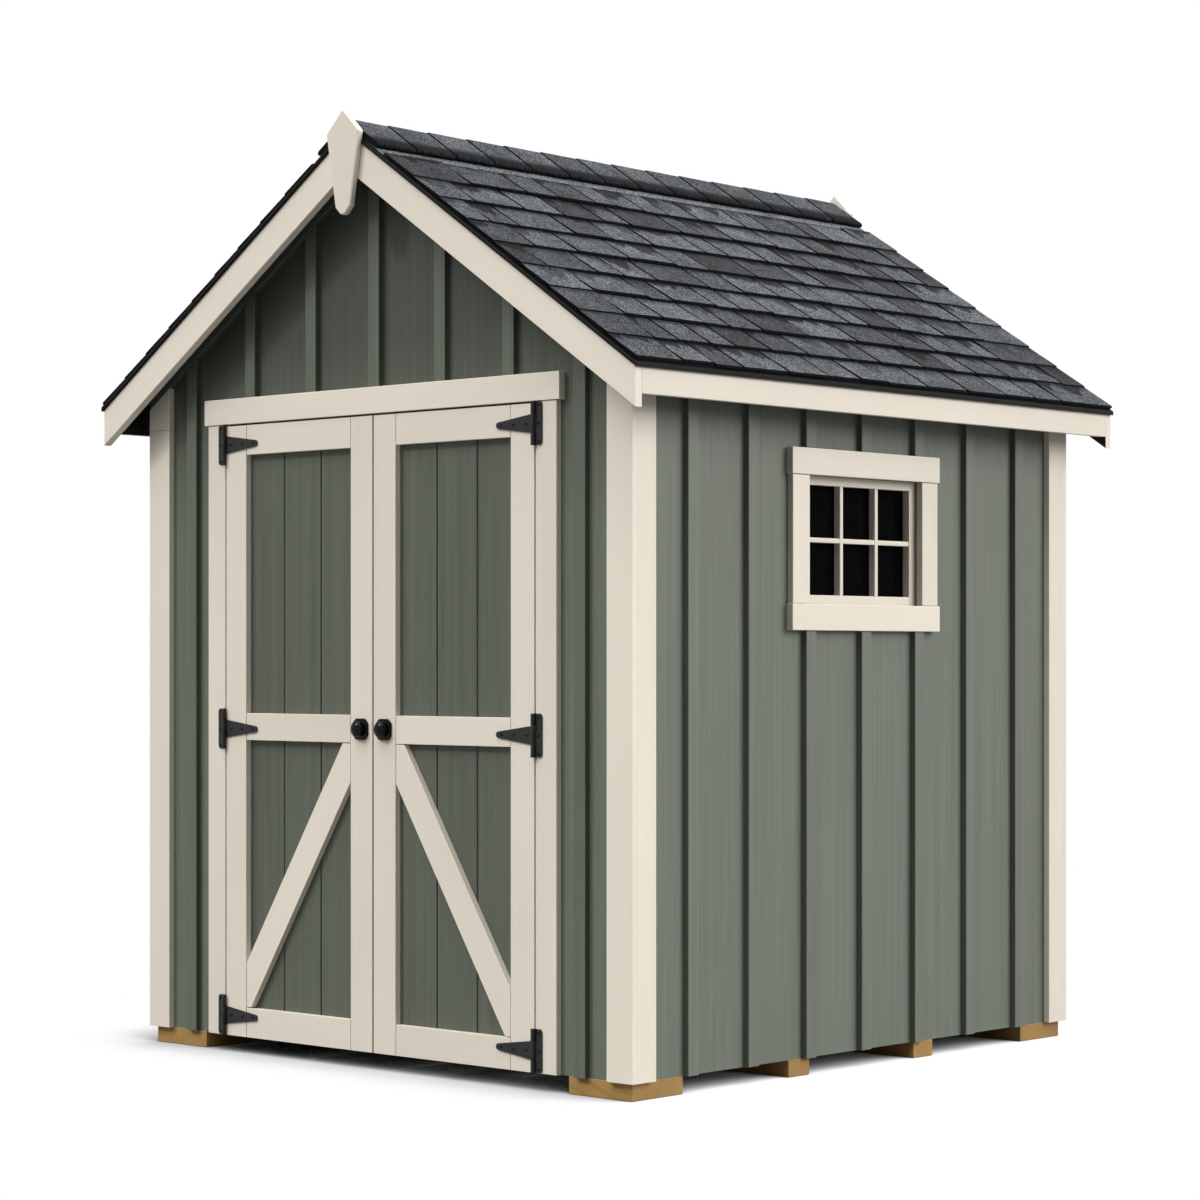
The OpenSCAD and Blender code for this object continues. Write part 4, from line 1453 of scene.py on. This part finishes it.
    def tab_faces(self, rows: int, columns: int) -> tuple[list[Face], list[float]]:
        """Faces of a tab whose corners lie in a grid, upper layer first.

        Args:
            rows: Corners down the slope.
            columns: Corners along the course.

        Returns:
            The faces, and one for each that is a cut edge or an underside, which take painted shade, otherwise
            zero.
        """
        faces, edges = [], []
        size = rows * columns
        for i in range(rows - 1):
            for a in range(i * columns, i * columns + columns - 1):
                faces.append((a, a + 1, a + columns + 1, a + columns))
                faces.append((a + size, a + columns + size, a + columns + 1 + size, a + 1 + size))
                edges += [0.0, 1.0]
        rim = list(range(columns))
        rim += [i * columns + columns - 1 for i in range(1, rows)]
        rim += [(rows - 1) * columns + j for j in range(columns - 2, -1, -1)]
        rim += [i * columns for i in range(rows - 2, 0, -1)]
        faces += [(a, a + size, b + size, b) for a, b in zip(rim, rim[1:] + rim[:1])]
        return faces, edges + [1.0] * len(rim)

    def cap_section(self, lift: float) -> list[Triple]:
        """Section of a ridge cap piece.

        Args:
            lift: Height square to the deck added to the whole section.

        Returns:
            X, Z and painted shade of each corner, round the section, with its lip first.
        """
        base, pitch = self.cap_base + lift, ROOF.pitch
        lip_x, lip_r = self.cap_reach * ROOF.level, self.cap_t / 2
        lip_z = ROOF.z(lip_x, base + lip_r)
        right = []
        for k, dark in enumerate(self.lip_shades):
            angle = -math.pi / 2 - pitch + math.pi * k / (len(self.lip_shades) - 1)
            right.append((lip_x + lip_r * math.cos(angle), lip_z + lip_r * math.sin(angle), dark))
        for far, dark in self.cap_shade_fade:
            x = min(far * ROOF.level, lip_x - self.lip_gap)
            right.append((x, ROOF.z(x, base + self.cap_t), dark))
        bend = self.ridge_r * math.sin(pitch)
        centre = ROOF.z(bend, base + self.cap_t) - self.ridge_r * ROOF.level
        for k in range(self.ridge_steps):
            angle = pitch * (1.0 - k / self.ridge_steps)
            right.append((self.ridge_r * math.sin(angle), centre + self.ridge_r * math.cos(angle), 0.0))
        left = [(-x, z, dark) for x, z, dark in reversed(right)]
        return [*right, (0.0, centre + self.ridge_r, 0.0), *left, (0.0, ROOF.z(0.0, base), 1.0)]

    def build_cap(self) -> None:
        """Make the overlapping ridge cap pieces."""
        cap = Joinery("ridge_cap_pieces", 53)
        pitch_y = 2 * self.half_y / self.cap_pieces
        start, on_right, on_left = self.cap_grain
        for k in range(self.cap_pieces):
            near = -self.half_y + k * pitch_y
            far = near + pitch_y - self.cap_slit
            tone = cap.draw.uniform(*self.cap_tone)
            seed = cap.draw.uniform(*self.seeds)
            points, grain, shadow = [], [], []
            for y, lift in zip((near, near + self.cap_nose, (near + far) / 2, far), self.cap_lifts):
                for x, z, dark in self.cap_section(lift):
                    points.append(Vector((x, y, z)) * MM)
                    down = start + abs(x) / ROOF.level * MM
                    grain.append(Vector((down, y * MM + seed, on_right if x > 0 else on_left)))
                    shadow.append(dark)
            rings = len(self.cap_lifts)
            count = len(points) // rings
            faces = [(a, d, c, b) for a, b, c, d in hoops(rings, count)]
            edges = [0.0] * len(faces) + [1.0, 1.0]
            faces += [tuple(range(count)), tuple(reversed(range(len(points) - count, len(points))))]
            cap.patch(points, faces, grain, tone, edges, 0.0, shadow)
        self.fit(cap, FINISH.roofing, "shingle", "ridge_cap", sharp_deg=self.cap_sharp)

    def dress(self) -> None:
        """Coat the drip edge."""
        self.coat(FINISH.drip, "drip_edge", bevel=self.drip_bevel)


@dataclass
class DoorLeaf(SubAssembly):
    """One braced leaf with its frame boards, straps, screws and knob."""

    body: str
    side: Side
    seed: int
    face_y: float = -1012.0
    panel_y: float = -992.0
    edge_x: float = 639.0
    seam_x: float = 4.0
    foot_z: float = 48.0
    top_z: float = 1872.0
    stile_w: float = 89.0
    rail_h: float = 88.0
    rail_back: float = 0.3
    mid_h: float = 80.0
    mid_z: float = 974.0
    brace_w: float = 88.0
    brace_head: float = 33.0
    brace_foot: float = 20.0
    brace_back: float = 0.5
    seam: float = 2.5
    edge: float = 0.9
    spread: float = 0.025
    hinge_x: float = 642.0
    hinge_zs: tuple[float, ...] = (109.0, 967.0, 1817.0)
    plate_t: float = 4.0
    strap_screws: tuple[float, ...] = (30.0, 78.0, 126.0)
    plate_screws: tuple[float, ...] = (-50.0, 0.0, 50.0)
    plate_mid: float = 18.5
    screw: tuple[Point, ...] = ((4.4, 0.0), (4.3, 0.8), (3.5, 1.6), (2.0, 2.0), (1.4, 1.3), (0.0, 1.2))
    screw_sides: int = 18
    screw_sharp: float = 40.0
    rose_w: float = 61.0
    rose_clip: float = 13.0
    rose_t: float = 7.0
    rose_edge: float = 1.8
    neck: tuple[Point, ...] = ((16.0, -0.5), (13.0, 1.0), (12.0, 2.5), (13.0, 4.0), (18.0, 5.0), (20.8, 6.0))
    knob_r: float = 22.0
    knob_out: float = 29.0
    knob_round: float = 8.0
    knob_sharp: float = 28.0
    dome: tuple[Point, ...] = (
        (21.2, 6.0), (19.4, 4.5), (18.4, 4.3), (17.9, 4.05), (11.5, 1.1), (11.0, 0.9), (6.0, 0.2), (0.0, 0.0),
    )
    knob_sides: int = 64
    strap_bevel: float = 0.8

    def build(self) -> None:
        """Make the frame boards, screws and knob of the leaf."""
        self.build_frame()
        self.build_screws()
        self.build_knob()

    def brace(self, left: float, right: float) -> list[Point]:
        """Outline of the brace in the lower bay.

        Args:
            left: X of the lock stile's edge on the right leaf.
            right: X of the hinge stile's edge.

        Returns:
            Corners on the right leaf, from the lock stile down to the hinge stile.
        """
        low = self.foot_z + self.rail_h + self.seam
        high = self.mid_z - self.mid_h / 2 - self.seam
        wide = right - left
        across, up = wide - self.brace_head - self.brace_foot, high - low
        rise = math.tan(math.atan2(up, across) - math.asin(self.brace_w / math.hypot(across, up)))
        nose = low + (wide - self.brace_foot) * rise
        toe = high - (wide - self.brace_head) * rise
        return [
            (left, high), (left, nose), (right - self.brace_foot, low), (right, low),
            (right, toe), (left + self.brace_head, high),
        ]

    def build_frame(self) -> None:
        """Make stiles, rails and brace as single boards."""
        leaf = Joinery(f"{self.body}_frame_boards", self.seed)
        left = self.seam_x + self.stile_w + self.seam
        right = self.edge_x - self.stile_w - self.seam
        stiles = (self.seam_x, self.edge_x - self.stile_w)
        rails = (
            (self.foot_z, self.rail_h), (self.mid_z - self.mid_h / 2, self.mid_h),
            (self.top_z - self.rail_h, self.rail_h),
        )
        brace = self.brace(left, right)
        lean = math.degrees(math.atan2(brace[1][1] - brace[2][1], brace[1][0] - brace[2][0]))
        boards = [(x, x + self.stile_w, self.foot_z, self.top_z, 0.0, UPRIGHT) for x in stiles]
        boards += [(left, right, low, low + tall, self.rail_back, 0.0) for low, tall in rails]
        outlines = [
            ([(x0, z0), (x1, z0), (x1, z1), (x0, z1)], back, grain) for x0, x1, z0, z1, back, grain in boards
        ]
        outlines.append((brace, self.brace_back, lean if self.side is Side.RIGHT else 180.0 - lean))
        for outline, back, grain in outlines:
            placed = [(self.side.value * x, z) for x, z in outline]
            leaf.board(Lay.XZ, placed, self.face_y + back, self.panel_y, grain, self.edge, self.spread)
        self.fit(leaf, FINISH.trim, "cream_trim", f"{self.body}_frame", body=self.body)

    def build_screws(self) -> None:
        """Make the round screw heads of straps and jamb plates."""
        straps, plates = Joinery(f"{self.body}_strap_screws", 1), Joinery(f"{self.body}_plate_screws", 2)
        front = self.face_y - self.plate_t
        for z in self.hinge_zs:
            for back in self.strap_screws:
                spot = Vector((self.side.value * (self.hinge_x - back), front, z))
                straps.turned(self.screw, spot, self.screw_sides)
            for up in self.plate_screws:
                spot = Vector((self.side.value * (self.hinge_x + self.plate_mid), front, z + up))
                plates.turned(self.screw, spot, self.screw_sides)
        self.fit(straps, FINISH.knob, "black_iron", body=self.body, sharp_deg=self.screw_sharp)
        self.fit(plates, FINISH.knob, "black_iron", sharp_deg=self.screw_sharp)

    def build_knob(self) -> None:
        """Make the turned knob on its cut-corner rose."""
        knob = Joinery(f"{self.body}_turned_knob", 3)
        centre = Vector((self.side.value * (self.seam_x + self.stile_w / 2), self.face_y, self.mid_z))
        a = self.rose_w / 2
        b = a - self.rose_clip
        rose = [(-b, -a), (b, -a), (a, -b), (a, b), (b, a), (-b, a), (-a, b), (-a, -b)]
        rose = [(centre.x + x, centre.z + z) for x, z in rose]
        knob.board(Lay.XZ, rose, self.face_y - self.rose_t, self.face_y, edge=self.rose_edge, spread=0.0)
        profile = [(r, self.rose_t + up) for r, up in self.neck]
        profile.append((self.knob_r, self.rose_t + self.knob_round))
        profile.append((self.knob_r, self.knob_out - self.knob_round))
        profile += [(r, self.knob_out - down) for r, down in self.dome]
        knob.turned(profile, centre, self.knob_sides)
        self.fit(
            knob, FINISH.knob, "black_iron", f"{self.body}_knob", body=self.body, sharp_deg=self.knob_sharp
        )

    def dress(self) -> None:
        """Paint the panel and coat the straps."""
        self.coat(FINISH.door_wall, f"{self.body}_panel")
        self.coat(FINISH.iron, f"{self.body}_straps", bevel=self.strap_bevel)


@dataclass
class HingePlates(SubAssembly):
    """Jamb plates of the T-hinges."""

    bevel: float = 0.8

    def dress(self) -> None:
        """Coat the jamb plates."""
        self.coat(FINISH.iron, "hinge_plates", bevel=self.bevel)


@dataclass
class Studio:
    """Floor, light and camera."""

    eye: Triple = (6.5258, -7.1532, 1.1741)
    heading_deg: float = 42.58
    lens: float = 93.70
    sensor: float = 36.0
    shift_y: float = 0.0495
    view_end: float = 500.0
    floor_size: float = 240.0
    floor_bounce: float = 0.2
    contact: float = 0.5
    contact_samples: int = 16
    contact_fit: Fit = ((0.24, 0.78), UNIT)
    lit_side: Fit = ((-0.6, 0.8), (0.68, 1.0))
    ambient: float = 0.2
    suns: tuple[tuple[str, Triple, float, float], ...] = (
        ("key_sun", (0.75, 0.45, 0.485), 45.0, 3.15),
        ("front_sun", (-0.12, -0.49, 0.863), 60.0, 3.0),
        ("glint_sun", (-0.45, -0.66, 0.60), 8.0, 0.85),
    )
    sun_far: float = 10.0

    def build(self) -> None:
        """Set up the floor, world, suns and camera."""
        self.build_floor()
        self.build_world()
        for name, towards, spread, strength in self.suns:
            self.build_sun(name, towards, spread, strength)
        self.build_camera()

    def build_floor(self) -> None:
        """Make the white floor, with a painted contact shadow round the shed."""
        half = self.floor_size / 2
        mesh = bpy.data.meshes.new("studio_floor")
        corners = [(-half, -half), (half, -half), (half, half), (-half, half)]
        mesh.from_pydata([(x, y, -MM) for x, y in corners], [], [(0, 1, 2, 3)])
        shade = Shade("studio_floor_paint")
        seen = shade.seen()
        lean = shade.fit(shade.split(shade.place(Grain.X))[0], *self.lit_side)
        tilt = shade.add("CombineXYZ", {0: lean, 2: 1.0}).outputs[0]
        tilt = shade.add("VectorMath", {0: tilt}, operation="NORMALIZE").outputs[0]
        # painted contact shadow: the glow dimmed by occlusion near the shed, lighter on the right, lit side
        near = shade.add(
            "AmbientOcclusion", {"Distance": self.contact, "Normal": tilt}, samples=self.contact_samples
        ).outputs["AO"]
        shade.set(
            Base_Color=shade.fit(seen, UNIT, (self.floor_bounce, 0.0)), Roughness=1.0,
            Specular_IOR_Level=0.0, Emission_Color=WHITE,
            Emission_Strength=shade.product(seen, shade.fit(near, *self.contact_fit)),
        )
        mesh.materials.append(shade.material)
        floor = bpy.data.objects.new("studio_floor", mesh)
        bpy.context.scene.collection.objects.link(floor)

    def build_world(self) -> None:
        """Make an even surround that is white where it is seen directly or mirrored."""
        world = bpy.data.worlds.new("studio_world")
        bpy.context.scene.world = world
        world.use_nodes = True
        world.node_tree.nodes.clear()
        wiring = Wiring(world.node_tree)
        strength = wiring.fit(wiring.seen(), UNIT, (self.ambient, 1.0))
        back = wiring.add("Background", {"Color": WHITE, "Strength": strength})
        wiring.add("OutputWorld", {"Surface": back.outputs[0]})

    def build_sun(self, name: str, towards: Triple, spread: float, strength: float) -> None:
        """Add one soft distant lamp.

        Args:
            name: Name of the lamp.
            towards: Direction from the shed to the lamp.
            spread: Angle that the lamp fills, in degrees.
            strength: Its strength on a face square to it.
        """
        light = bpy.data.lights.new(name, "SUN")
        light.energy = strength
        light.angle = math.radians(spread)
        lamp = bpy.data.objects.new(name, light)
        lamp.location = Vector(towards) * self.sun_far
        lamp.rotation_euler = Vector(towards).to_track_quat("Z", "Y").to_euler()
        bpy.context.scene.collection.objects.link(lamp)

    def build_camera(self) -> None:
        """Place the level camera at the photograph's view."""
        view = bpy.data.cameras.new("photo_camera")
        view.lens = self.lens
        view.sensor_width = self.sensor
        view.shift_y = self.shift_y
        view.clip_end = self.view_end
        camera = bpy.data.objects.new("photo_camera", view)
        camera.location = self.eye
        camera.rotation_euler = (math.radians(90.0), 0.0, math.radians(self.heading_deg))
        bpy.context.scene.collection.objects.link(camera)
        bpy.context.scene.camera = camera


def main() -> None:
    """Build the studio and every sub-assembly in order."""
    logging.basicConfig(level=logging.INFO, format="%(name)s: %(message)s")
    bpy.context.scene.view_settings.view_transform = "Standard"
    Studio().build()
    parts: list[SubAssembly] = [
        BaseTimbers(), TimberFrame(), Walls(), Trim(), SideWindow(), RoofCover(), HingePlates(),
        DoorLeaf("left_door", Side.LEFT, 61), DoorLeaf("right_door", Side.RIGHT, 62),
    ]
    for part in parts:
        part.build()
        part.dress()
        LOG.info("%s done", type(part).__name__)


if __name__ == "__main__":
    main()
